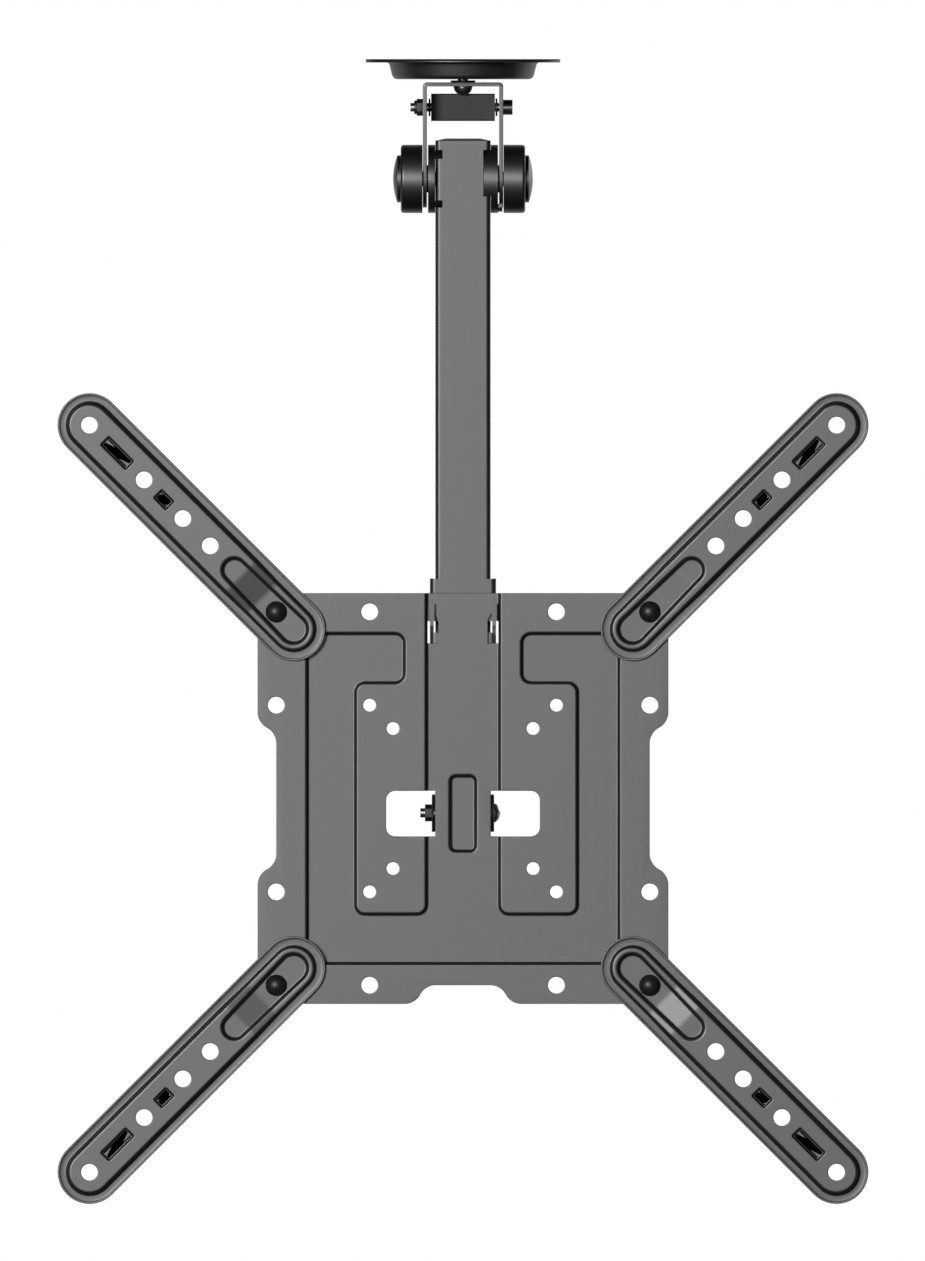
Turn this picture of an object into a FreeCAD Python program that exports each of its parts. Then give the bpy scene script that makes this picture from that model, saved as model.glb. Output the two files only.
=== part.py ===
import FreeCAD, Part
import enum
import math
import operator
import os

import Sketcher

# Ceiling mount for a flat screen, in millimetres.
# +X is to the right seen from the screen's side, +Y is away from the screen, +Z is up.
# The origin is where the swivel axis meets the ceiling.

DRIVING_SIZES = {
    # Ceiling dish
    "flange_radius": 52.15,
    "dish_sheet": 1.8,
    "dish_mouth_radius": 39.75,
    "dish_floor_radius": 37.5,
    "dish_depth": 10.75,
    "dish_corner_radius": 2.0,
    "ceiling_hole_circle_radius": 46.0,
    "ceiling_hole_radius": 3.25,
    # Swivel bolt and its washers and nut
    "swivel_shank_radius": 2.9,
    "swivel_clearance": 0.08,
    "swivel_head_radius": 5.1,
    "swivel_head_height": 4.8,
    "swivel_washer_radius": 6.65,
    "swivel_washer_thickness": 1.05,
    "swivel_nut_flats": 10.0,
    "swivel_nut_height": 4.8,
    "swivel_bolt_recess": 1.4,
    # Yoke
    "web_drop": 12.4,
    "yoke_sheet": 2.2,
    "yoke_width": 43.1,
    "yoke_depth": 30.8,
    "yoke_bend_radius": 2.2,
    "hinge_drop": 64.15,
    # Cross bolt with its spacer block
    "cross_drop": 25.8,
    "cross_set_back": 9.4,
    "cross_shank_radius": 2.35,
    "cross_clearance": 0.15,
    "cross_head_radius": 4.1,
    "cross_head_length": 5.0,
    "cross_socket_flats": 4.0,
    "cross_socket_depth": 2.6,
    "cross_nut_flats": 8.0,
    "cross_nut_height": 4.65,
    "cross_bolt_overrun": 2.0,
    "cross_washer_radius": 4.75,
    "cross_washer_thickness": 1.0,
    "cross_washer_gap": 0.35,
    "spacer_room": 2.25,
    "spacer_height": 14.7,
    "spacer_depth": 12.0,
    "spacer_edge_radius": 0.8,
    # Folding hinge
    "hinge_bolt_radius": 4.0,
    "hinge_clearance": 0.08,
    "hinge_bolt_flats": 13.0,
    "hinge_head_height": 5.3,
    "hinge_nut_height": 6.0,
    "hinge_bolt_overrun": 0.6,
    "hinge_washer_radius": 8.4,
    "hinge_washer_thickness": 1.6,
    "disc_spring_radius": 8.4,
    "disc_spring_thickness": 1.0,
    "hub_radius": 18.3,
    "hub_length": 11.6,
    "hub_gap": 0.2,
    "hub_floor": 2.4,
    "hub_bore_radius": 10.6,
    "hub_edge_radius": 1.6,
    "cap_radius": 12.65,
    "cap_rim": 1.9,
    "cap_rise": 2.2,
    "cap_skirt_wall": 1.5,
    "cap_skirt_length": 4.0,
    "cap_clearance": 0.1,
    "leg_washer_radius": 7.35,
    "leg_washer_thickness": 0.6,
    "inner_hub_gap": 0.1,
    "tab_reach": 3.8,
    "tab_top": 15.3,
    "tab_bottom": 15.2,
    "left_tab_inner_top": 10.9,
    "left_tab_inner_bottom": 11.7,
    "right_tab_bottom": 9.1,
    "tab_back": 8.1,
    "tab_clearance": 0.1,
    "lug_inner_radius": 15.9,
    "lug_length": 2.4,
    "lug_top": 13.3,
    "lug_bottom": 17.6,
    "lug_near": 4.7,
    "lug_far": 10.0,
    "sleeve_radius": 7.0,
    "sleeve_end_gap": 0.05,
    # Pole and its end caps
    "pole_width": 29.6,
    "pole_depth": 30.0,
    "pole_wall": 2.0,
    "pole_corner_radius": 2.5,
    "pole_top_drop": 43.7,
    "pole_bottom_drop": 418.0,
    "top_cap_height": 1.2,
    "top_cap_slope_run": 5.5,
    "top_cap_plug": 4.0,
    "bottom_cap_height": 1.5,
    "bottom_cap_plug": 8.0,
    "plug_clearance": 0.1,
    # Hook bracket
    "bracket_sheet": 2.0,
    "bracket_side_gap": 0.9,
    "bracket_flange_reach": 10.0,
    "bracket_bend_radius": 2.7,
    "bracket_rise": 7.5,
    "bracket_height": 60.0,
    "bracket_screw_rise": 13.4,
    "hook_rest_clearance": 0.1,
    "hook_shank_height": 7.4,
    "hook_tip_rise": 4.6,
    "hook_tip_height": 9.3,
    "hook_tip_width": 2.8,
    "hook_tip_depth": 2.9,
    "hook_tip_gap": 0.3,
    "hook_relief_inner": 13.2,
    "hook_relief_drop": 4.9,
    "hook_relief_height": 11.0,
    "hook_notch_height": 10.6,
    "hook_notch_depth": 9.0,
    # Screen plate
    "plate_drop": 395.9,
    "plate_margin": 10.0,
    "plate_sheet": 1.8,
    "plate_step": 3.0,
    "plate_wall_run": 1.4,
    "plate_gap": 0.3,
    "plate_corner_radius": 12.0,
    "notch_depth": 10.0,
    "notch_slope_rise": 5.8,
    "notch_corner_radius": 5.0,
    "side_notch_half": 35.0,
    "bottom_notch_half": 20.0,
    "recess_half_width": 84.2,
    "recess_half_height": 89.0,
    "recess_corner_radius": 5.0,
    "neck_half_width": 30.7,
    "island_top": 61.2,
    "island_bottom": 61.2,
    "island_left": 56.8,
    "island_right": 60.5,
    "channel_half_width": 20.3,
    "screw_offset": 8.1,
    "window_outer": 41.15,
    "window_half_height": 12.2,
    "window_corner_radius": 4.8,
    "ear_clearance": 0.1,
    "ear_half_height": 9.8,
    "ear_reach": 9.0,
    "emboss_half_width": 7.7,
    "emboss_half_height": 21.1,
    "emboss_depth": 2.0,
    "emboss_corner_radius": 4.3,
    "slot_outer": 18.95,
    "slot_inner": 13.3,
    "slot_drop": 10.1,
    "slot_height": 16.8,
    "slot_chamfer_run": 2.4,
    "slot_chamfer_rise": 4.4,
    "slot_neck_outer": 17.95,
    "slot_neck_height": 4.9,
    "small_pattern": 75.0,
    "middle_pattern": 100.0,
    "large_pattern": 200.0,
    "small_hole_radius": 3.46,
    "large_hole_radius": 4.5,
    # Screws across the pole, one through the plate's ears and one through the bracket
    "frame_screw_radius": 2.5,
    "frame_screw_clearance": 0.1,
    "frame_screw_head_radius": 5.1,
    "frame_screw_head_height": 3.4,
    "frame_nut_flats": 8.0,
    "frame_nut_height": 3.7,
    "frame_screw_overrun": 2.5,
    # Adapter arms
    "arm_sheet": 1.8,
    "arm_gap": 0.1,
    "arm_lip_radius": 17.1,
    "arm_lip_rise": 0.5,
    "arm_band_radius": 16.0,
    "arm_mesa_foot_radius": 12.6,
    "arm_mesa_top_radius": 10.6,
    "arm_mesa_low": 4.1,
    "arm_mesa_lift": 2.0,
    "arm_tail": 13.1,
    "arm_tip": 141.42,
    "arm_ramp_start": 10.7,
    "arm_ramp_end": 26.7,
    "arm_pocket_end": 31.7,
    "arm_pocket_tail_radius": 7.7,
    "arm_pocket_tip_radius": 7.0,
    "arm_pocket_wall_run": 1.3,
    "arm_hole_radius": 4.5,
    "arm_hole_near": 50.0,
    "arm_hole_second": 70.71,
    "arm_hole_third": 100.0,
    "arm_mark_depth": 0.8,
    "arm_long_mark_centre": 120.3,
    "arm_long_mark_length": 19.1,
    "arm_short_mark_centre": 85.0,
    "arm_short_mark_length": 9.4,
    "arm_mark_width": 6.5,
    # Arm pivot bolts
    "pivot_shank_radius": 2.9,
    "pivot_clearance": 0.08,
    "pivot_head_radius": 5.75,
    "pivot_head_height": 3.8,
    "pivot_washer_radius": 6.5,
    "pivot_washer_thickness": 1.2,
    "pivot_nut_flats": 10.0,
    "pivot_nut_height": 5.0,
    "pivot_bolt_overrun": 0.8,
}

OPERATIONS = {
    "+": operator.add,
    "-": operator.sub,
    "*": operator.mul,
    "/": operator.truediv,
}

# A hexagon's corner lies this many times its flat-to-flat size from the centre.
HEX_CORNER = 0.57735
# A cut starts and ends this far outside what it cuts.
CUT_MARGIN = 1.0
# A bolt's thread leaves this much room in its nut.
THREAD_ROOM = 0.05
# Edge left at the foot of a domed head.
DOME_EDGE = 0.6


class Spot(enum.IntEnum):
    """A point of a sketch element, as sketch constraints number it."""

    START = enum.auto()
    END = enum.auto()
    CENTRE = enum.auto()


ORIGIN_POINT = (-1, Spot.START)
START, END, CENTRE = Spot

DOCUMENT = FreeCAD.newDocument("CeilingMount")


class Length:
    """A size of the mount: its number, and the sheet formula that gives it."""

    def __init__(self, number, formula):
        self.number = number
        self.formula = formula

    def __add__(self, other):
        return combine(self, "+", other)

    def __radd__(self, other):
        return combine(other, "+", self)

    def __sub__(self, other):
        return combine(self, "-", other)

    def __rsub__(self, other):
        return combine(other, "-", self)

    def __mul__(self, other):
        return combine(self, "*", other)

    def __rmul__(self, other):
        return combine(other, "*", self)

    def __truediv__(self, other):
        return combine(self, "/", other)

    def __neg__(self):
        return combine(0.0, "-", self)


def as_length(value):
    """A plain number as a Length with itself as its formula."""
    if isinstance(value, Length):
        return value
    return Length(float(value), f"({float(value)})")


def combine(first, sign, second):
    """The sum, difference, product or quotient of two sizes, with its formula."""
    first = as_length(first)
    second = as_length(second)
    number = OPERATIONS[sign](first.number, second.number)
    return Length(number, f"({first.formula} {sign} {second.formula})")


def slant(across, along):
    """The length of a slope from its run and its rise."""
    number = math.hypot(across.number, along.number)
    return Length(number, f"sqrt({across.formula}^2 + {along.formula}^2)")


class SizeSheet:
    """The document's spreadsheet of driving sizes, read as Length values."""

    def __init__(self, sizes):
        self.sizes = sizes
        sheet = DOCUMENT.addObject("Spreadsheet::Sheet", "Sizes")
        for row, (alias, value) in enumerate(sizes.items(), start=1):
            sheet.set(f"A{row}", alias.replace("_", " "))
            sheet.set(f"B{row}", str(value))
            sheet.setAlias(f"B{row}", alias)
        DOCUMENT.recompute()

    def __getattr__(self, alias):
        return Length(self.sizes[alias], f"Sizes.{alias}")


S = SizeSheet(DRIVING_SIZES)


def place(target, x=0.0, y=0.0, z=0.0, axis=(0, 0, 1), angle=0.0):
    """Set an object's Placement, with its position bound to the sheet."""
    position = [as_length(value) for value in (x, y, z)]
    base = FreeCAD.Vector(*(length.number for length in position))
    target.Placement = FreeCAD.Placement(base, FreeCAD.Rotation(FreeCAD.Vector(*axis), angle))
    for name, length in zip("xyz", position):
        target.setExpression(f"Placement.Base.{name}", length.formula)


def bind(target, name, value):
    """Set a property and bind it to the sheet."""
    length = as_length(value)
    setattr(target, name, length.number)
    target.setExpression(name, length.formula)


class Drawing:
    """A sketch whose points and radii are all bound to the sheet."""

    def __init__(self, body, name, plane, offset):
        self.sketch = body.newObject("Sketcher::SketchObject", name)
        datum = next(item for item in body.Origin.OriginFeatures if item.Role == plane)
        self.sketch.AttachmentSupport = [(datum, "")]
        self.sketch.MapMode = "FlatFace"
        height = as_length(offset)
        self.sketch.AttachmentOffset = FreeCAD.Placement(
            FreeCAD.Vector(0, 0, height.number), FreeCAD.Rotation()
        )
        self.sketch.setExpression("AttachmentOffset.Base.z", height.formula)

    def constrain(self, rows):
        """Add constraints, each a tuple of kind and references, with a Length last if it has one."""
        constraints = []
        formulas = []
        first = self.sketch.ConstraintCount
        for row in rows:
            if isinstance(row[-1], Length):
                formulas.append((first + len(constraints), row[-1].formula))
                row = row[:-1] + (row[-1].number,)
            constraints.append(Sketcher.Constraint(*row))
        self.sketch.addConstraint(constraints)
        for index, formula in formulas:
            self.sketch.setExpression(f"Constraints[{index}]", formula)

    def pinned(self, element, position, point):
        """Two constraint rows that hold a point at its distances from the sketch's origin."""
        across, up = (as_length(value) for value in point)
        return [
            ("DistanceX", *ORIGIN_POINT, element, position, across),
            ("DistanceY", *ORIGIN_POINT, element, position, up),
        ]

    def circle(self, x, y, radius):
        """A full circle."""
        radius = as_length(radius)
        centre = FreeCAD.Vector(as_length(x).number, as_length(y).number, 0)
        element = self.sketch.addGeometry(
            Part.Circle(centre, FreeCAD.Vector(0, 0, 1), radius.number), False
        )
        self.constrain(self.pinned(element, CENTRE, (x, y)) + [("Radius", element, radius)])

    def outline(self, corners, radii=None, dome=None):
        """A closed outline of straight edges.

        radii gives a corner's index its rounding, on corners between a level and an upright edge.
        dome is the index of the edge that is an arc centred on the sketch's upright axis.
        """
        radii = radii or {}
        count = len(corners)
        points = [tuple(as_length(value) for value in corner) for corner in corners]
        entries, exits, rows = [], [], []
        for index, point in enumerate(points):
            if index not in radii:
                entries.append((point[0].number, point[1].number))
                exits.append(entries[-1])
                continue
            radius = as_length(radii[index])
            to_previous = level_direction(point, points[index - 1])
            to_next = level_direction(point, points[(index + 1) % count])
            entries.append(shifted(point, to_previous, radius.number))
            exits.append(shifted(point, to_next, radius.number))

        edges = []
        for index in range(count):
            begin = FreeCAD.Vector(*exits[index], 0)
            finish = FreeCAD.Vector(*entries[(index + 1) % count], 0)
            if index == dome:
                edges.append(dome_arc(begin, finish))
            else:
                edges.append(Part.LineSegment(begin, finish))
        lines = list(self.sketch.addGeometry(edges, False))

        entry_ends, exit_ends = {}, {}
        for index in radii:
            point = points[index]
            radius = as_length(radii[index])
            to_previous = level_direction(point, points[index - 1])
            to_next = level_direction(point, points[(index + 1) % count])
            middle = (
                point[0] + radius * float(to_previous[0] + to_next[0]),
                point[1] + radius * float(to_previous[1] + to_next[1]),
            )
            arc, starts_at_entry = corner_arc(middle, radius, entries[index], exits[index])
            element = self.sketch.addGeometry(arc, False)
            entry_ends[index] = (element, START if starts_at_entry else END)
            exit_ends[index] = (element, END if starts_at_entry else START)
            rows += self.pinned(element, CENTRE, middle)
            rows.append(("Radius", element, radius))
            for (_, end), direction in ((entry_ends[index], to_previous), (exit_ends[index], to_next)):
                kind = "Horizontal" if direction[0] == 0 else "Vertical"
                rows.append((kind, element, end, element, CENTRE))

        for index in range(count):
            after = (index + 1) % count
            line, next_line = lines[index], lines[after]
            leaves = (START, END)
            if index == dome:
                leaves = dome_ends(edges[index], exits[index])
            next_start = dome_ends(edges[after], exits[after])[0] if after == dome else START
            if index in radii:
                rows.append(("Coincident", line, leaves[0], *exit_ends[index]))
            else:
                rows += self.pinned(line, leaves[0], points[index])
            if after in radii:
                rows.append(("Coincident", line, leaves[1], *entry_ends[after]))
            else:
                rows.append(("Coincident", line, leaves[1], next_line, next_start))
            if index == dome:
                rows.append(self.pinned(line, CENTRE, (0, 0))[0])
        self.constrain(rows)

    def belt(self, tail, tail_radius, tip, tip_radius):
        """The outline of a belt round two circles on the sketch's level axis."""
        tail, tail_radius, tip, tip_radius = (
            as_length(value) for value in (tail, tail_radius, tip, tip_radius)
        )
        lean = math.acos((tail_radius.number - tip_radius.number) / (tip.number - tail.number))
        up = FreeCAD.Vector(0, 0, 1)
        tail_centre = FreeCAD.Vector(tail.number, 0, 0)
        tip_centre = FreeCAD.Vector(tip.number, 0, 0)
        tail_circle = Part.Circle(tail_centre, up, tail_radius.number)
        tip_circle = Part.Circle(tip_centre, up, tip_radius.number)
        ray = FreeCAD.Vector(math.cos(lean), math.sin(lean), 0)
        ray_below = FreeCAD.Vector(math.cos(lean), -math.sin(lean), 0)
        tail_arc, tip_arc, upper, lower = self.sketch.addGeometry(
            [
                Part.ArcOfCircle(tail_circle, lean, 2 * math.pi - lean),
                Part.ArcOfCircle(tip_circle, -lean, lean),
                Part.LineSegment(
                    tip_centre + ray * tip_radius.number, tail_centre + ray * tail_radius.number
                ),
                Part.LineSegment(
                    tail_centre + ray_below * tail_radius.number,
                    tip_centre + ray_below * tip_radius.number,
                ),
            ],
            False,
        )
        rows = self.pinned(tail_arc, CENTRE, (tail, 0)) + self.pinned(tip_arc, CENTRE, (tip, 0))
        rows += [
            ("Radius", tail_arc, tail_radius),
            ("Radius", tip_arc, tip_radius),
            ("Tangent", tip_arc, END, upper, START),
            ("Tangent", upper, END, tail_arc, START),
            ("Tangent", tail_arc, END, lower, START),
            ("Tangent", lower, END, tip_arc, START),
        ]
        self.constrain(rows)


def level_direction(point, other):
    """The unit step from one corner towards another along the sketch's X or Y."""
    step = (other[0].number - point[0].number, other[1].number - point[1].number)
    if abs(step[0]) > abs(step[1]):
        return (math.copysign(1, step[0]), 0)
    return (0, math.copysign(1, step[1]))


def shifted(point, direction, distance):
    """A corner's numbers moved along a direction."""
    return (
        point[0].number + direction[0] * distance,
        point[1].number + direction[1] * distance,
    )


def corner_arc(middle, radius, entry, leave):
    """The short arc between two points about a centre, and whether it starts at the first."""
    centre = FreeCAD.Vector(middle[0].number, middle[1].number, 0)
    circle = Part.Circle(centre, FreeCAD.Vector(0, 0, 1), radius.number)
    begin = math.atan2(entry[1] - centre.y, entry[0] - centre.x)
    finish = math.atan2(leave[1] - centre.y, leave[0] - centre.x)
    if (finish - begin) % (2 * math.pi) < math.pi:
        return Part.ArcOfCircle(circle, begin, finish), True
    return Part.ArcOfCircle(circle, finish, begin), False


def dome_arc(begin, finish):
    """The arc from a point on the upright axis to another point, centred on that axis."""
    apex, rim = (begin, finish) if begin.x == 0 else (finish, begin)
    height = (apex.y**2 - rim.x**2 - rim.y**2) / (2 * (apex.y - rim.y))
    centre = FreeCAD.Vector(0, height, 0)
    circle = Part.Circle(centre, FreeCAD.Vector(0, 0, 1), abs(apex.y - height))
    apex_angle = math.atan2(apex.y - height, 0)
    rim_angle = math.atan2(rim.y - height, rim.x)
    low, high = sorted((apex_angle, rim_angle))
    return Part.ArcOfCircle(circle, low, high)


def dome_ends(arc, leave):
    """Which ends of a dome's arc meet the edge before it and the edge after it."""
    starts_here = arc.StartPoint.distanceToPoint(FreeCAD.Vector(*leave, 0)) < 1e-6
    return (START, END) if starts_here else (END, START)


class Piece:
    """One PartDesign body, built feature by feature in a frame of its own."""

    def __init__(self, label):
        self.body = DOCUMENT.addObject("PartDesign::Body", label)
        self.body.Label = label

    def drawing(self, name, plane="XZ_Plane", offset=0.0):
        """A new sketch on one of the body's origin planes, raised along that plane's normal."""
        return Drawing(self.body, name, plane, offset)

    def volume(self):
        """The body's volume so far."""
        DOCUMENT.recompute()
        return self.body.Shape.Volume if self.body.Tip else 0.0

    def feature(self, kind, name, drawing):
        """A new feature on a drawing."""
        feature = self.body.newObject(f"PartDesign::{kind}", name)
        feature.Profile = drawing.sketch
        drawing.sketch.Visibility = False
        return feature

    def pad(self, name, drawing, length, backwards=False):
        """Add an extrusion along the drawing's normal, or against it."""
        before = self.volume()
        feature = self.feature("Pad", name, drawing)
        feature.Reversed = backwards
        bind(feature, "Length", length)
        self.require(name, self.volume() > before)

    def pocket(self, name, drawing, length, forwards=False):
        """Cut an extrusion against the drawing's normal, or along it."""
        before = self.volume()
        feature = self.feature("Pocket", name, drawing)
        feature.Reversed = forwards
        bind(feature, "Length", length)
        self.require(name, self.volume() < before)

    def loft(self, name, foot, top, cut=False):
        """Add or cut the straight-sided form between two drawings."""
        before = self.volume()
        feature = self.feature("SubtractiveLoft" if cut else "AdditiveLoft", name, foot)
        feature.Sections = [(top.sketch, [""])]
        feature.Ruled = True
        top.sketch.Visibility = False
        after = self.volume()
        self.require(name, after < before if cut else after > before)

    def turn(self, name, drawing):
        """Turn a drawing about its upright axis."""
        feature = self.feature("Revolution", name, drawing)
        feature.ReferenceAxis = (drawing.sketch, ["V_Axis"])
        feature.Angle = 360
        self.require(name, self.volume() > 0)

    def smooth(self, name, radius, wanted):
        """Round the edges of the body that a test picks."""
        self.volume()
        base = self.body.Tip
        edges = [
            f"Edge{number}"
            for number, edge in enumerate(base.Shape.Edges, start=1)
            if wanted(edge)
        ]
        feature = self.body.newObject("PartDesign::Fillet", name)
        feature.Base = (base, edges)
        bind(feature, "Radius", radius)
        self.require(name, bool(edges) and self.volume() > 0)

    def require(self, name, holds):
        """Stop where a feature did not change the body as meant."""
        if not holds:
            raise RuntimeError(f"{self.body.Label}: {name} has no effect")

    def place(self, **where):
        """Set the body's Placement and hand the body over."""
        place(self.body, **where)
        return self.body


def near(first, second, tolerance=1e-4):
    """Whether two numbers agree."""
    return abs(first - second) < tolerance


def circle_edge(radius, height, axis="z"):
    """A test for full circles of one radius at one height along an axis of the body."""

    def test(edge):
        if not isinstance(edge.Curve, Part.Circle):
            return False
        return near(edge.Curve.Radius, radius.number) and near(
            getattr(edge.Curve.Center, axis), as_length(height).number
        )

    return test


def ring(label, outer, inner, thickness, **where):
    """A flat washer with its lower face at its own origin."""
    piece = Piece(label)
    face = piece.drawing("RingFace", "XY_Plane")
    face.circle(0, 0, outer)
    face.circle(0, 0, inner)
    piece.pad("Ring", face, thickness)
    return piece.place(**where)


def hexagon(drawing, flats):
    """A hexagon about the drawing's origin with a corner on its level axis."""
    corner = flats * HEX_CORNER
    side = flats * 0.5
    drawing.outline(
        [
            (corner, 0),
            (corner * 0.5, side),
            (corner * -0.5, side),
            (-corner, 0),
            (corner * -0.5, -side),
            (corner * 0.5, -side),
        ]
    )


def self_locking_nut(label, flats, bore, height, **where):
    """A self-locking nut: a hexagon with a round collar at its outer end."""
    collar_share = 0.3
    collar_radius_share = 0.46
    piece = Piece(label)
    body_height = height * (1 - collar_share)
    faces = piece.drawing("NutFlats", "XY_Plane")
    hexagon(faces, flats)
    faces.circle(0, 0, bore)
    piece.pad("Hexagon", faces, body_height)
    collar = piece.drawing("NutCollar", "XY_Plane", body_height)
    collar.circle(0, 0, flats * collar_radius_share)
    collar.circle(0, 0, bore)
    piece.pad("Collar", collar, height * collar_share)
    return piece.place(**where)


def domed_bolt(label, head_radius, head_height, shank_radius, shank_length, neck=None, **where):
    """A bolt with a domed head: its shank runs down from its own origin, its head up."""
    piece = Piece(label)
    profile = piece.drawing("BoltProfile")
    profile.outline(
        [
            (0, head_height),
            (head_radius, DOME_EDGE),
            (head_radius, 0),
            (shank_radius, 0),
            (shank_radius, -shank_length),
            (0, -shank_length),
        ],
        dome=0,
    )
    piece.turn("Bolt", profile)
    if neck is not None:
        square = piece.drawing("NeckSquare", "XY_Plane")
        square.outline(
            [
                (shank_radius, shank_radius),
                (-shank_radius, shank_radius),
                (-shank_radius, -shank_radius),
                (shank_radius, -shank_radius),
            ]
        )
        piece.pad("SquareNeck", square, neck, backwards=True)
    return piece.place(**where)


def group(label, members):
    """Separate like solids that share one node."""
    compound = DOCUMENT.addObject("Part::Compound", label)
    compound.Label = label
    compound.Links = members
    DOCUMENT.recompute()
    return compound


# Places that several sub-parts share.

DISH_FLOOR_TOP = -(S.dish_depth - S.dish_sheet)
SWIVEL_HOLE_RADIUS = S.swivel_shank_radius + S.swivel_clearance
WEB_UNDERSIDE = -(S.web_drop + S.yoke_sheet)
LEG_OUTER = S.yoke_width * 0.5
LEG_INNER = LEG_OUTER - S.yoke_sheet
LEG_HALF_DEPTH = S.yoke_depth * 0.5
HINGE_HEIGHT = -S.hinge_drop
HINGE_HOLE_RADIUS = S.hinge_bolt_radius + S.hinge_clearance
CROSS_HEIGHT = -S.cross_drop
HUB_START = LEG_OUTER + S.hub_gap
HUB_FLOOR_TOP = HUB_START + S.hub_floor
HUB_END = HUB_START + S.hub_length
POLE_HALF_WIDTH = S.pole_width * 0.5
POLE_HALF_DEPTH = S.pole_depth * 0.5
POLE_FRONT = -POLE_HALF_DEPTH
INNER_HUB_START = POLE_HALF_WIDTH + S.inner_hub_gap
INNER_HUB_END = LEG_INNER - S.leg_washer_thickness
BRACKET_FRONT = POLE_FRONT - S.bracket_sheet
BRACKET_INNER = POLE_HALF_WIDTH + S.bracket_side_gap
BRACKET_OUTER = BRACKET_INNER + S.bracket_sheet
PLATE_BACK = BRACKET_FRONT - S.plate_gap
PLATE_LOW_FRONT = PLATE_BACK - S.plate_sheet
PLATE_FRONT = PLATE_LOW_FRONT - S.plate_step
PLATE_RIM_BACK = PLATE_FRONT + S.plate_sheet
PLATE_CENTRE = -S.plate_drop
PLATE_HALF = S.large_pattern * 0.5 + S.plate_margin
PIVOT_OFFSET = S.large_pattern * 0.5
PLATE_SCREW_HEIGHT = PLATE_CENTRE - S.screw_offset
SLOT_TOP = PLATE_HALF - S.slot_drop
SLOT_BOTTOM = SLOT_TOP - S.slot_height
BRACKET_BOTTOM = PLATE_CENTRE + PLATE_HALF + S.bracket_rise - S.bracket_height
BRACKET_SCREW_HEIGHT = BRACKET_BOTTOM + S.bracket_screw_rise
FRAME_SCREW_HOLE = S.frame_screw_radius + S.frame_screw_clearance
EAR_INNER = POLE_HALF_WIDTH + S.ear_clearance
EAR_OUTER = EAR_INNER + S.plate_sheet
ARM_BACK = PLATE_FRONT - S.arm_gap

TO_RIGHT = {"axis": (0, 1, 0), "angle": 90}
TO_LEFT = {"axis": (0, 1, 0), "angle": -90}
TO_FRONT = {"axis": (1, 0, 0), "angle": 90}
TO_BACK = {"axis": (1, 0, 0), "angle": -90}
UPSIDE_DOWN = {"axis": (1, 0, 0), "angle": 180}


# Ceiling dish: a pressed steel disc whose flange lies on the ceiling.


def ceiling_plate():
    wall_lean = (S.dish_mouth_radius - S.dish_floor_radius) / (S.dish_depth - S.dish_sheet)
    wall_width = slant(S.dish_sheet, S.dish_sheet * wall_lean)
    inner_mouth = S.dish_mouth_radius + wall_lean * S.dish_sheet - wall_width
    inner_floor = S.dish_floor_radius + wall_lean * S.dish_sheet - wall_width
    piece = Piece("ceiling_plate")
    section = piece.drawing("DishSection")
    section.outline(
        [
            (SWIVEL_HOLE_RADIUS, -S.dish_depth),
            (S.dish_floor_radius, -S.dish_depth),
            (S.dish_mouth_radius, -S.dish_sheet),
            (S.flange_radius, -S.dish_sheet),
            (S.flange_radius, 0),
            (inner_mouth, 0),
            (inner_floor, DISH_FLOOR_TOP),
            (SWIVEL_HOLE_RADIUS, DISH_FLOOR_TOP),
        ]
    )
    piece.turn("Dish", section)
    piece.smooth("DishCorner", S.dish_corner_radius, circle_edge(S.dish_floor_radius, -S.dish_depth))
    holes = piece.drawing("CeilingHoles", "XY_Plane", CUT_MARGIN)
    diagonal = S.ceiling_hole_circle_radius * math.sqrt(0.5)
    for side in (-1, 1):
        for end in (-1, 1):
            holes.circle(diagonal * side, diagonal * end, S.ceiling_hole_radius)
    piece.pocket("ScrewHoles", holes, S.dish_sheet + 2 * CUT_MARGIN)
    return piece.place()


def swivel_set():
    """The bolt that the yoke hangs from, with its washers and self-locking nut."""
    shank = S.swivel_shank_radius
    bolt = domed_bolt(
        "swivel_bolt",
        S.swivel_head_radius,
        S.swivel_head_height,
        shank,
        -WEB_UNDERSIDE - S.swivel_bolt_recess,
        neck=S.yoke_sheet,
        z=WEB_UNDERSIDE,
        **UPSIDE_DOWN,
    )
    lower = ring(
        "swivel_washer",
        S.swivel_washer_radius,
        SWIVEL_HOLE_RADIUS,
        S.swivel_washer_thickness,
        z=-S.web_drop,
    )
    upper = ring(
        "swivel_top_washer",
        S.swivel_washer_radius,
        SWIVEL_HOLE_RADIUS,
        S.swivel_washer_thickness,
        z=DISH_FLOOR_TOP,
    )
    nut = self_locking_nut(
        "swivel_nut",
        S.swivel_nut_flats,
        shank + THREAD_ROOM,
        S.swivel_nut_height,
        z=DISH_FLOOR_TOP + S.swivel_washer_thickness,
    )
    return [bolt, lower, upper, nut]


# Yoke: a steel strip bent into an upside-down U whose legs carry the folding hinge.


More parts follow.
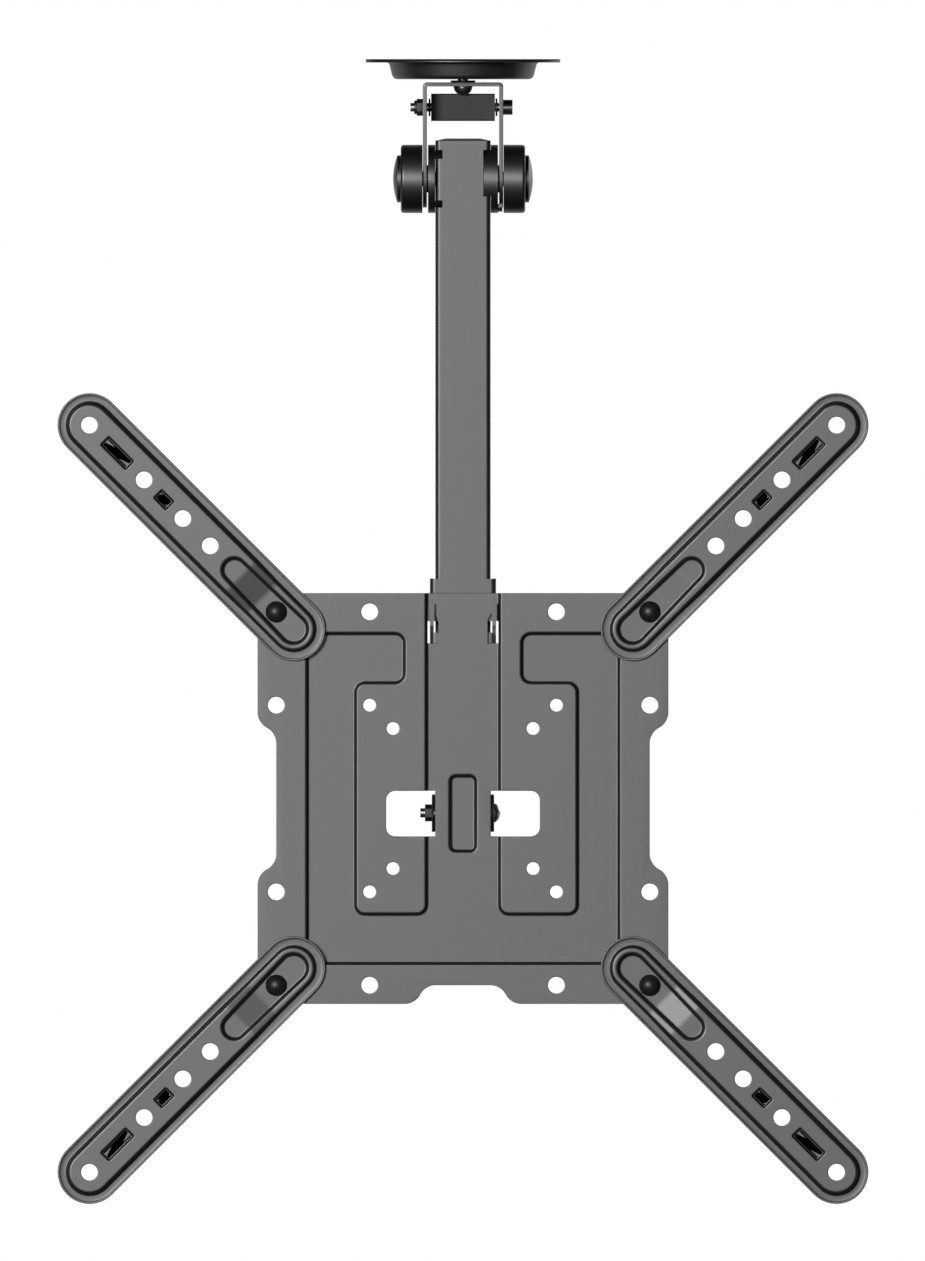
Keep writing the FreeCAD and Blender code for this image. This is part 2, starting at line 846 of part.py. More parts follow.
def yoke():
    piece = Piece("yoke")
    strip = piece.drawing("StripSection", "XZ_Plane", -LEG_HALF_DEPTH)
    strip.outline(
        [
            (-LEG_OUTER, HINGE_HEIGHT),
            (-LEG_OUTER, -S.web_drop),
            (LEG_OUTER, -S.web_drop),
            (LEG_OUTER, HINGE_HEIGHT),
            (LEG_INNER, HINGE_HEIGHT),
            (LEG_INNER, WEB_UNDERSIDE),
            (-LEG_INNER, WEB_UNDERSIDE),
            (-LEG_INNER, HINGE_HEIGHT),
        ],
        radii={1: S.yoke_bend_radius, 2: S.yoke_bend_radius},
    )
    piece.pad("Strip", strip, S.yoke_depth)
    for name, offset in (("RightLegEnd", LEG_INNER), ("LeftLegEnd", -LEG_OUTER)):
        end = piece.drawing(name + "Circle", "YZ_Plane", offset)
        end.circle(0, HINGE_HEIGHT, LEG_HALF_DEPTH)
        piece.pad(name, end, S.yoke_sheet)
    leg_holes = piece.drawing("LegHoles", "YZ_Plane", LEG_OUTER + CUT_MARGIN)
    leg_holes.circle(0, HINGE_HEIGHT, HINGE_HOLE_RADIUS)
    leg_holes.circle(S.cross_set_back, CROSS_HEIGHT, S.cross_shank_radius + S.cross_clearance)
    piece.pocket("LegBores", leg_holes, S.yoke_width + 2 * CUT_MARGIN)
    side = SWIVEL_HOLE_RADIUS
    square = piece.drawing("SwivelSquare", "XY_Plane", -S.web_drop + CUT_MARGIN)
    square.outline([(side, side), (-side, side), (-side, -side), (side, -side)])
    piece.pocket("SwivelHole", square, S.yoke_sheet + 2 * CUT_MARGIN)
    return piece.place()


def cross_set():
    """The bolt across the yoke, with the block that keeps its legs apart."""
    where = {"y": S.cross_set_back, "z": CROSS_HEIGHT}
    shank = S.cross_shank_radius
    bore = shank + S.cross_clearance
    bolt = Piece("cross_bolt")
    profile = bolt.drawing("BoltProfile")
    shank_length = S.yoke_width + S.cross_nut_height + S.cross_bolt_overrun
    profile.outline(
        [
            (0, S.cross_head_length),
            (S.cross_head_radius, S.cross_head_length),
            (S.cross_head_radius, 0),
            (shank, 0),
            (shank, -shank_length),
            (0, -shank_length),
        ]
    )
    bolt.turn("Bolt", profile)
    socket = bolt.drawing("SocketHexagon", "XY_Plane", S.cross_head_length)
    hexagon(socket, S.cross_socket_flats)
    bolt.pocket("Socket", socket, S.cross_socket_depth)

    block = Piece("spacer_block")
    half_length = LEG_INNER - S.spacer_room
    half_height = S.spacer_height * 0.5
    half_depth = S.spacer_depth * 0.5
    section = block.drawing("BlockSection", "YZ_Plane", -half_length)
    section.outline(
        [
            (half_depth, half_height),
            (-half_depth, half_height),
            (-half_depth, -half_height),
            (half_depth, -half_height),
        ],
        radii={index: S.spacer_edge_radius for index in range(4)},
    )
    section.circle(0, 0, bore)
    block.pad("Block", section, half_length * 2)

    washer_start = half_length + S.cross_washer_gap
    washers = [
        ring(
            f"cross_washer_{name}",
            S.cross_washer_radius,
            bore,
            S.cross_washer_thickness,
            x=washer_start * side,
            **where,
            **turned,
        )
        for name, side, turned in (("right", 1, TO_RIGHT), ("left", -1, TO_LEFT))
    ]
    nut = self_locking_nut(
        "cross_nut",
        S.cross_nut_flats,
        shank + THREAD_ROOM,
        S.cross_nut_height,
        x=-LEG_OUTER,
        **where,
        **TO_LEFT,
    )
    return [
        bolt.place(x=LEG_OUTER, **where, **TO_RIGHT),
        block.place(**where),
        group("cross_washers", washers),
        nut,
    ]


# Folding hinge: a bolt through both legs and the pole, clamped by disc springs.


def hinge_fasteners():
    where = {"z": HINGE_HEIGHT}
    shank = S.hinge_bolt_radius
    bolt_seat = HUB_FLOOR_TOP + S.hinge_washer_thickness
    springs_end = HUB_FLOOR_TOP + 2 * S.disc_spring_thickness
    shank_length = bolt_seat + springs_end + S.hinge_nut_height + S.hinge_bolt_overrun
    bolt = Piece("hinge_bolt")
    head = bolt.drawing("HeadHexagon", "XY_Plane")
    hexagon(head, S.hinge_bolt_flats)
    bolt.pad("Head", head, S.hinge_head_height)
    round_shank = bolt.drawing("ShankCircle", "XY_Plane")
    round_shank.circle(0, 0, shank)
    bolt.pad("Shank", round_shank, shank_length, backwards=True)
    washer = ring(
        "hinge_washer",
        S.hinge_washer_radius,
        HINGE_HOLE_RADIUS,
        S.hinge_washer_thickness,
        x=HUB_FLOOR_TOP,
        **where,
        **TO_RIGHT,
    )
    springs = [
        ring(
            f"disc_spring_{number}",
            S.disc_spring_radius,
            HINGE_HOLE_RADIUS,
            S.disc_spring_thickness,
            x=-(HUB_FLOOR_TOP + number * S.disc_spring_thickness),
            **where,
            **TO_LEFT,
        )
        for number in range(2)
    ]
    nut = self_locking_nut(
        "hinge_nut",
        S.hinge_bolt_flats,
        shank + THREAD_ROOM,
        S.hinge_nut_height,
        x=-springs_end,
        **where,
        **TO_LEFT,
    )
    leg_washers = [
        ring(
            f"leg_washer_{name}",
            S.leg_washer_radius,
            HINGE_HOLE_RADIUS,
            S.leg_washer_thickness,
            x=INNER_HUB_END * side,
            **where,
            **turned,
        )
        for name, side, turned in (("right", 1, TO_RIGHT), ("left", -1, TO_LEFT))
    ]
    return [
        bolt.place(x=bolt_seat, **where, **TO_RIGHT),
        washer,
        group("disc_springs", springs),
        nut,
        group("leg_washers", leg_washers),
    ]


def outer_hub(label, x, turned):
    """A plastic cup outside a leg that hides the hinge's nut or bolt head."""
    piece = Piece(label)
    section = piece.drawing("HubSection")
    section.outline(
        [
            (HINGE_HOLE_RADIUS, 0),
            (S.hub_radius, 0),
            (S.hub_radius, S.hub_length),
            (S.hub_bore_radius, S.hub_length),
            (S.hub_bore_radius, S.hub_floor),
            (HINGE_HOLE_RADIUS, S.hub_floor),
        ],
        radii={2: S.hub_edge_radius},
    )
    piece.turn("Hub", section)
    return piece.place(x=x, z=HINGE_HEIGHT, **turned)


def hub_cap(label, x, turned):
    """A domed plug that closes an outer hub."""
    skirt_outer = S.hub_bore_radius - S.cap_clearance
    skirt_inner = skirt_outer - S.cap_skirt_wall
    piece = Piece(label)
    section = piece.drawing("CapSection")
    section.outline(
        [
            (0, S.cap_rim + S.cap_rise),
            (S.cap_radius, S.cap_rim),
            (S.cap_radius, 0),
            (skirt_outer, 0),
            (skirt_outer, -S.cap_skirt_length),
            (skirt_inner, -S.cap_skirt_length),
            (skirt_inner, 0),
            (0, 0),
        ],
        dome=0,
    )
    piece.turn("Cap", section)
    return piece.place(x=x, z=HINGE_HEIGHT, **turned)


def rod(name, start, length, radius):
    """A cylinder on the hinge axis, from one X to another."""
    cylinder = DOCUMENT.addObject("Part::Cylinder", name)
    bind(cylinder, "Radius", radius)
    bind(cylinder, "Height", length)
    place(cylinder, x=start, z=HINGE_HEIGHT, **TO_RIGHT)
    return cylinder


def slab(name, low, high):
    """A box between two corners."""
    box = DOCUMENT.addObject("Part::Box", name)
    for size, bottom, top in zip(("Length", "Width", "Height"), low, high):
        bind(box, size, as_length(top) - bottom)
    place(box, *low)
    return box


def joined(kind, name, *members):
    """A Part boolean of several shapes."""
    result = DOCUMENT.addObject(f"Part::{kind}", name)
    if kind == "Cut":
        result.Base, result.Tool = members
    else:
        result.Shapes = list(members)
    DOCUMENT.recompute()
    return result


def inner_hub(label, side, tabs, lug=False):
    """A plastic friction disc keyed into the pole's notches by its tabs."""
    thickness = INNER_HUB_END - INNER_HUB_START
    disc_start = INNER_HUB_START if side > 0 else -INNER_HUB_END
    solids = [rod(label + "_disc", disc_start, thickness, S.hub_radius)]
    tab_inner = INNER_HUB_START - S.tab_reach
    tab_start = tab_inner if side > 0 else -INNER_HUB_START
    for number, (bottom, top) in enumerate(tabs):
        barrel = rod(f"{label}_barrel_{number}", tab_start, S.tab_reach, S.hub_radius)
        window = slab(
            f"{label}_window_{number}",
            (tab_start, -S.hub_radius, HINGE_HEIGHT + bottom),
            (tab_start + S.tab_reach, -S.tab_back, HINGE_HEIGHT + top),
        )
        solids.append(joined("MultiCommon", f"{label}_tab_{number}", barrel, window))
    if lug:
        rim = rod(label + "_rim", INNER_HUB_END, S.lug_length, S.hub_radius)
        core = rod(label + "_core", INNER_HUB_END, S.lug_length, S.lug_inner_radius)
        band = joined("Cut", label + "_band", rim, core)
        window = slab(
            label + "_lug_window",
            (INNER_HUB_END, -S.lug_far, HINGE_HEIGHT - S.lug_bottom),
            (INNER_HUB_END + S.lug_length, -S.lug_near, HINGE_HEIGHT - S.lug_top),
        )
        solids.append(joined("MultiCommon", label + "_lug", band, window))
    whole = joined("MultiFuse", label + "_solid", *solids)
    bore = rod(label + "_bore", disc_start - CUT_MARGIN, thickness + 2 * CUT_MARGIN, HINGE_HOLE_RADIUS)
    result = joined("Cut", label, whole, bore)
    result.Label = label
    return result


LEFT_TABS = [
    (S.left_tab_inner_top, S.tab_top),
    (-S.tab_bottom, -S.left_tab_inner_bottom),
]
RIGHT_TABS = [(-S.right_tab_bottom, S.tab_top)]


def hinge_sleeve():
    """The tube inside the pole that takes the hinge bolt's clamping."""
    half_length = POLE_HALF_WIDTH - S.pole_wall - S.sleeve_end_gap
    outer = rod("sleeve_outside", -half_length, half_length * 2, S.sleeve_radius)
    bore_start = -half_length - CUT_MARGIN
    bore = rod("sleeve_bore", bore_start, half_length * 2 + 2 * CUT_MARGIN, HINGE_HOLE_RADIUS)
    result = joined("Cut", "hinge_sleeve", outer, bore)
    result.Label = "hinge_sleeve"
    return result


# Pole: a rectangular steel tube with a plastic cap in each end.


def rounded_rectangle(drawing, half_width, half_depth, radius, x=0.0, y=0.0):
    """A rectangle about a point, with all corners rounded alike."""
    drawing.outline(
        [
            (x + half_width, y + half_depth),
            (x - half_width, y + half_depth),
            (x - half_width, y - half_depth),
            (x + half_width, y - half_depth),
        ],
        radii={index: radius for index in range(4)},
    )


def pole():
    piece = Piece("pole")
    section = piece.drawing("TubeSection", "XY_Plane", -S.pole_bottom_drop)
    rounded_rectangle(section, POLE_HALF_WIDTH, POLE_HALF_DEPTH, S.pole_corner_radius)
    rounded_rectangle(
        section,
        POLE_HALF_WIDTH - S.pole_wall,
        POLE_HALF_DEPTH - S.pole_wall,
        S.pole_corner_radius * 0.2,
    )
    piece.pad("Tube", section, S.pole_bottom_drop - S.pole_top_drop)
    cross_holes = piece.drawing("CrossHoles", "YZ_Plane", POLE_HALF_WIDTH + CUT_MARGIN)
    cross_holes.circle(0, HINGE_HEIGHT, HINGE_HOLE_RADIUS + S.hinge_clearance)
    for height in (PLATE_SCREW_HEIGHT, BRACKET_SCREW_HEIGHT):
        cross_holes.circle(0, height, FRAME_SCREW_HOLE)
    piece.pocket("CrossBores", cross_holes, S.pole_width + 2 * CUT_MARGIN)
    notches = piece.drawing("TabNotches", "XZ_Plane", POLE_HALF_DEPTH + CUT_MARGIN)
    outside = POLE_HALF_WIDTH + CUT_MARGIN
    inside = INNER_HUB_START - S.tab_reach - S.tab_clearance
    for side, tabs in ((-1, LEFT_TABS), (1, RIGHT_TABS)):
        for bottom, top in tabs:
            low = HINGE_HEIGHT + bottom - S.tab_clearance
            high = HINGE_HEIGHT + top + S.tab_clearance
            notches.outline(
                [
                    (outside * side, high),
                    (inside * side, high),
                    (inside * side, low),
                    (outside * side, low),
                ]
            )
    notch_depth = POLE_HALF_DEPTH + CUT_MARGIN - S.tab_back + S.tab_clearance
    piece.pocket("Notches", notches, notch_depth)
    return piece.place()


def pole_caps():
    plug_half_width = POLE_HALF_WIDTH - S.pole_wall - S.plug_clearance
    plug_half_depth = POLE_HALF_DEPTH - S.pole_wall - S.plug_clearance
    plug_corner = S.pole_corner_radius * 0.2
    top = Piece("pole_top_cap")
    slope_end = POLE_HALF_WIDTH - S.top_cap_slope_run
    ridge = top.drawing("RidgeSection", "XZ_Plane", -POLE_HALF_DEPTH)
    ridge.outline(
        [
            (POLE_HALF_WIDTH, 0),
            (slope_end, S.top_cap_height),
            (-slope_end, S.top_cap_height),
            (-POLE_HALF_WIDTH, 0),
        ]
    )
    top.pad("Ridge", ridge, S.pole_depth)
    plug = top.drawing("PlugSection", "XY_Plane")
    rounded_rectangle(plug, plug_half_width, plug_half_depth, plug_corner)
    top.pad("Plug", plug, S.top_cap_plug, backwards=True)

    bottom = Piece("pole_bottom_cap")
    flange = bottom.drawing("FlangeSection", "XY_Plane")
    rounded_rectangle(flange, POLE_HALF_WIDTH, POLE_HALF_DEPTH, S.pole_corner_radius)
    bottom.pad("Flange", flange, S.bottom_cap_height, backwards=True)
    lower_plug = bottom.drawing("PlugSection", "XY_Plane")
    rounded_rectangle(lower_plug, plug_half_width, plug_half_depth, plug_corner)
    bottom.pad("Plug", lower_plug, S.bottom_cap_plug)
    return [top.place(z=-S.pole_top_drop), bottom.place(z=-S.pole_bottom_drop)]


# Hook bracket: a steel channel round the pole, with two hooks that the plate hangs from.


def hook_bracket():
    piece = Piece("hook_bracket")
    flange_back = S.bracket_flange_reach
    channel = piece.drawing("ChannelSection", "XY_Plane", BRACKET_BOTTOM)
    channel.outline(
        [
            (BRACKET_OUTER, flange_back),
            (BRACKET_INNER, flange_back),
            (BRACKET_INNER, POLE_FRONT),
            (-BRACKET_INNER, POLE_FRONT),
            (-BRACKET_INNER, flange_back),
            (-BRACKET_OUTER, flange_back),
            (-BRACKET_OUTER, BRACKET_FRONT),
            (BRACKET_OUTER, BRACKET_FRONT),
        ],
        radii={6: S.bracket_bend_radius, 7: S.bracket_bend_radius},
    )
    piece.pad("Channel", channel, S.bracket_height)

    shank_top = PLATE_CENTRE + SLOT_TOP - S.hook_rest_clearance
    shank_bottom = shank_top - S.hook_shank_height
    tip_top = shank_top + S.hook_tip_rise
    tip_back = PLATE_LOW_FRONT - S.hook_tip_gap
    tip_front = tip_back - S.hook_tip_depth
    relief_top = shank_top - S.hook_relief_drop
    relief = piece.drawing("HookRelief", "XZ_Plane", -BRACKET_FRONT + CUT_MARGIN)
    for side in (-1, 1):
        relief.outline(
            [
                ((BRACKET_OUTER + CUT_MARGIN) * side, relief_top),
                (S.hook_relief_inner * side, relief_top),
                (S.hook_relief_inner * side, shank_top - S.hook_relief_height),
                ((BRACKET_OUTER + CUT_MARGIN) * side, shank_top - S.hook_relief_height),
            ]
        )
    piece.pocket("Relief", relief, S.bracket_sheet + CUT_MARGIN)
    notch_bottom = shank_bottom - S.hook_notch_height
    notch = piece.drawing("HookNotch", "XZ_Plane", -BRACKET_FRONT + CUT_MARGIN)
    for side in (-1, 1):
        notch.outline(
            [
                ((BRACKET_OUTER + CUT_MARGIN) * side, shank_bottom),
                (BRACKET_INNER * side, shank_bottom),
                (BRACKET_INNER * side, notch_bottom),
                ((BRACKET_OUTER + CUT_MARGIN) * side, notch_bottom),
            ]
        )
    piece.pocket("Notch", notch, S.hook_notch_depth + CUT_MARGIN)
    flange_holes = piece.drawing("FlangeHoles", "YZ_Plane", BRACKET_OUTER + CUT_MARGIN)
    flange_holes.circle(0, BRACKET_SCREW_HEIGHT, FRAME_SCREW_HOLE)
    piece.pocket("FlangeBores", flange_holes, BRACKET_OUTER * 2 + 2 * CUT_MARGIN)

    widening = (S.hook_tip_width - S.bracket_sheet) * 0.5
    for name, start in (("Right", BRACKET_INNER), ("Left", -BRACKET_OUTER)):
        shank = piece.drawing(name + "ShankSide", "YZ_Plane", start)
        shank.outline(
            [
                (POLE_FRONT, shank_top),
                (POLE_FRONT, shank_bottom),
                (tip_front, shank_bottom),
                (tip_front, shank_top),
            ]
        )
        piece.pad(name + "Shank", shank, S.bracket_sheet)
        tip = piece.drawing(name + "TipSide", "YZ_Plane", start - widening)
        tip.outline(
            [
                (tip_back, tip_top),
                (tip_back, tip_top - S.hook_tip_height),
                (tip_front, tip_top - S.hook_tip_height),
                (tip_front, tip_top),
            ]
        )
        piece.pad(name + "Tip", tip, S.hook_tip_width)
    return piece.place()


# Screen plate: one pressed sheet, its front rim at its own origin.


def recess_outline(drawing, inset, top):
    """The edge of the plate's recess, drawn in from its true place, open at the plate's top."""
    channel = S.channel_half_width - inset
    neck = S.neck_half_width + inset
    left = -(S.island_left + inset)
    right = S.island_right + inset
    upper = S.recess_half_height - inset
    side = S.recess_half_width - inset
    island_top = S.island_top + inset
    island_bottom = -(S.island_bottom + inset)
    corners = [
        (-channel, top),
        (-channel, island_bottom),
        (left, island_bottom),
        (left, island_top),
        (-neck, island_top),
        (-neck, upper),
        (-side, upper),
        (-side, -upper),
        (side, -upper),
        (side, upper),
        (neck, upper),
        (neck, island_top),
        (right, island_top),
        (right, island_bottom),
        (channel, island_bottom),
        (channel, top),
    ]
    drawing.outline(corners, radii={index: S.recess_corner_radius for index in range(1, 15)})


def plate_outline(drawing):
    """The plate's outer edge with its three notches."""
    half = PLATE_HALF
    floor = half - S.notch_depth
    side_floor = S.side_notch_half
    side_mouth = side_floor + S.notch_slope_rise
    bottom_floor = S.bottom_notch_half
    bottom_mouth = bottom_floor + S.notch_slope_rise
    drawing.outline(
        [
            (-half, half),
            (-half, side_mouth),
            (-floor, side_floor),
            (-floor, -side_floor),
            (-half, -side_mouth),
            (-half, -half),
            (-bottom_mouth, -half),
            (-bottom_floor, -floor),
            (bottom_floor, -floor),
            (bottom_mouth, -half),
            (half, -half),
            (half, -side_mouth),
            (floor, -side_floor),
            (floor, side_floor),
            (half, side_mouth),
            (half, half),
        ]
    )


def along_depth(edge):
    """Whether an edge is straight and runs from front to back."""
    if not isinstance(edge.Curve, (Part.Line, Part.LineSegment)):
        return False
    return abs(edge.tangentAt(edge.FirstParameter).y) > 0.999


def at_plate_corner(edge):
    """Whether an edge is one of the plate's four outer corners."""
    middle = edge.CenterOfMass
    half = PLATE_HALF.number
    return along_depth(edge) and near(abs(middle.x), half) and near(abs(middle.z), half)


def at_notch(edge):
    """Whether an edge is one of the twelve corners of the plate's notches."""
    middle = edge.CenterOfMass
    mouth = max(S.side_notch_half.number, S.bottom_notch_half.number) + S.notch_slope_rise.number
    inner_reach = min(abs(middle.x), abs(middle.z))
    return along_depth(edge) and inner_reach < mouth + CUT_MARGIN


def vesa_plate():
    sheet = S.plate_sheet
    step = S.plate_step
    run = S.plate_wall_run
    lean = run / step
    wall_width = sheet * slant(run, step) / step
    back_at_rim = lean * sheet - wall_width
    back_at_floor = lean * (step + sheet) - wall_width
    piece = Piece("vesa_plate")
    outer = piece.drawing("PlateOutline")
    plate_outline(outer)
    piece.pad("Sheet", outer, sheet, backwards=True)
    piece.smooth("PlateCorners", S.plate_corner_radius, at_plate_corner)
    piece.smooth("NotchCorners", S.notch_corner_radius, at_notch)

    recess_back = piece.drawing("RecessBackRim", offset=-sheet)
    recess_outline(recess_back, back_at_rim, PLATE_HALF)
    recess_back_floor = piece.drawing("RecessBackFloor", offset=-(step + sheet))
    recess_outline(recess_back_floor, back_at_floor, PLATE_HALF)
    piece.loft("RecessBack", recess_back, recess_back_floor)
    recess_rim = piece.drawing("RecessRim")
    recess_outline(recess_rim, 0.0, PLATE_HALF + CUT_MARGIN)
    recess_floor = piece.drawing("RecessFloor", offset=-step)
    recess_outline(recess_floor, run, PLATE_HALF + CUT_MARGIN)
    piece.loft("Recess", recess_rim, recess_floor, cut=True)

    emboss_centre = -S.screw_offset
    emboss_back = S.emboss_depth
    bump_grow = sheet * math.sqrt(2) - sheet
    radius = S.emboss_corner_radius
    outlines = []
    for name, inset, depth in (
        ("BumpRoot", -bump_grow, step + sheet),
        ("BumpFace", emboss_back - bump_grow, step + sheet + emboss_back),
        ("EmbossMouth", as_length(0.0), step),
        ("EmbossFloor", emboss_back, step + emboss_back),
    ):
        drawing = piece.drawing(name, offset=-depth)
        width = S.emboss_half_width - inset
        height = S.emboss_half_height - inset
        rounded_rectangle(drawing, width, height, radius - inset, y=emboss_centre)
        outlines.append(drawing)
    piece.loft("Bump", outlines[0], outlines[1])
    piece.loft("Emboss", outlines[2], outlines[3], cut=True)

    thickness = step + sheet
    windows = piece.drawing("Windows", offset=CUT_MARGIN)
    for side in (-1, 1):
        windows.outline(
            [
                (EAR_INNER * side, emboss_centre + S.window_half_height),
                (S.window_outer * side, emboss_centre + S.window_half_height),
                (S.window_outer * side, emboss_centre - S.window_half_height),
                (EAR_INNER * side, emboss_centre - S.window_half_height),
            ],
            radii={1: S.window_corner_radius, 2: S.window_corner_radius},
        )
    piece.pocket("WrenchWindows", windows, thickness + 2 * CUT_MARGIN)

    ear_front = PLATE_LOW_FRONT - PLATE_FRONT
    ear_back = S.ear_reach - PLATE_FRONT
    ears = piece.drawing("EarSections", "XY_Plane", emboss_centre - S.ear_half_height)
    for side in (-1, 1):
        ears.outline(
            [
                (EAR_INNER * side, ear_front),
                (EAR_OUTER * side, ear_front),
                (EAR_OUTER * side, ear_back),
                (EAR_INNER * side, ear_back),
            ],
            radii={1: sheet * 0.95},
        )
    piece.pad("Ears", ears, S.ear_half_height * 2)
    ear_holes = piece.drawing("EarHoles", "YZ_Plane", EAR_OUTER + CUT_MARGIN)
    ear_holes.circle(-PLATE_FRONT, emboss_centre, FRAME_SCREW_HOLE)
    piece.pocket("EarBores", ear_holes, EAR_OUTER * 2 + 2 * CUT_MARGIN)

    slots = piece.drawing("HookSlots", offset=CUT_MARGIN)
    for side in (-1, 1):
        slots.outline(
            [
                (S.slot_neck_outer * side, SLOT_TOP),
                (S.slot_neck_outer * side, SLOT_TOP - S.slot_neck_height),
                (S.slot_outer * side, SLOT_TOP - S.slot_neck_height),
                (S.slot_outer * side, SLOT_BOTTOM),
                (S.slot_inner * side, SLOT_BOTTOM),
                (S.slot_inner * side, SLOT_TOP - S.slot_chamfer_rise),
                ((S.slot_inner + S.slot_chamfer_run) * side, SLOT_TOP),
            ]
        )
    piece.pocket("Slots", slots, thickness + 2 * CUT_MARGIN)

    small = S.small_pattern * 0.5
    middle = S.middle_pattern * 0.5
    large = S.large_pattern * 0.5
    pivot_hole = S.pivot_shank_radius + S.pivot_clearance
    holes = piece.drawing("ScreenHoles", offset=CUT_MARGIN)
    for side in (-1, 1):
        for end in (-1, 1):
            holes.circle(small * side, small * end, S.small_hole_radius)
            holes.circle(middle * side, middle * end, S.small_hole_radius)
            holes.circle(large * side, middle * end, S.large_hole_radius)
            holes.circle(middle * side, large * end, S.large_hole_radius)
            holes.circle(large * side, large * end, pivot_hole)
    piece.pocket("Holes", holes, thickness + 2 * CUT_MARGIN)
    return piece.place(y=PLATE_FRONT, z=PLATE_CENTRE)


def frame_screw(label, outside, height):
    """A screw and its nut across the pole, clamping whatever ends this far from its middle."""
    where = {"z": height}
    shank_length = outside * 2 + S.frame_nut_height + S.frame_screw_overrun
    screw = domed_bolt(
        label + "_screw",
        S.frame_screw_head_radius,
        S.frame_screw_head_height,
        S.frame_screw_radius,
        shank_length,
        x=outside,
        **where,
        **TO_RIGHT,
    )
    nut = Piece(label + "_nut")
    flats = nut.drawing("NutFlats", "XY_Plane")
    hexagon(flats, S.frame_nut_flats)
    flats.circle(0, 0, S.frame_screw_radius + THREAD_ROOM)
    nut.pad("Hexagon", flats, S.frame_nut_height)
    return [screw, nut.place(x=-outside, **where, **TO_LEFT)]


# Adapter arm: a pressed strip with a raised middle, its pivot at its own origin.


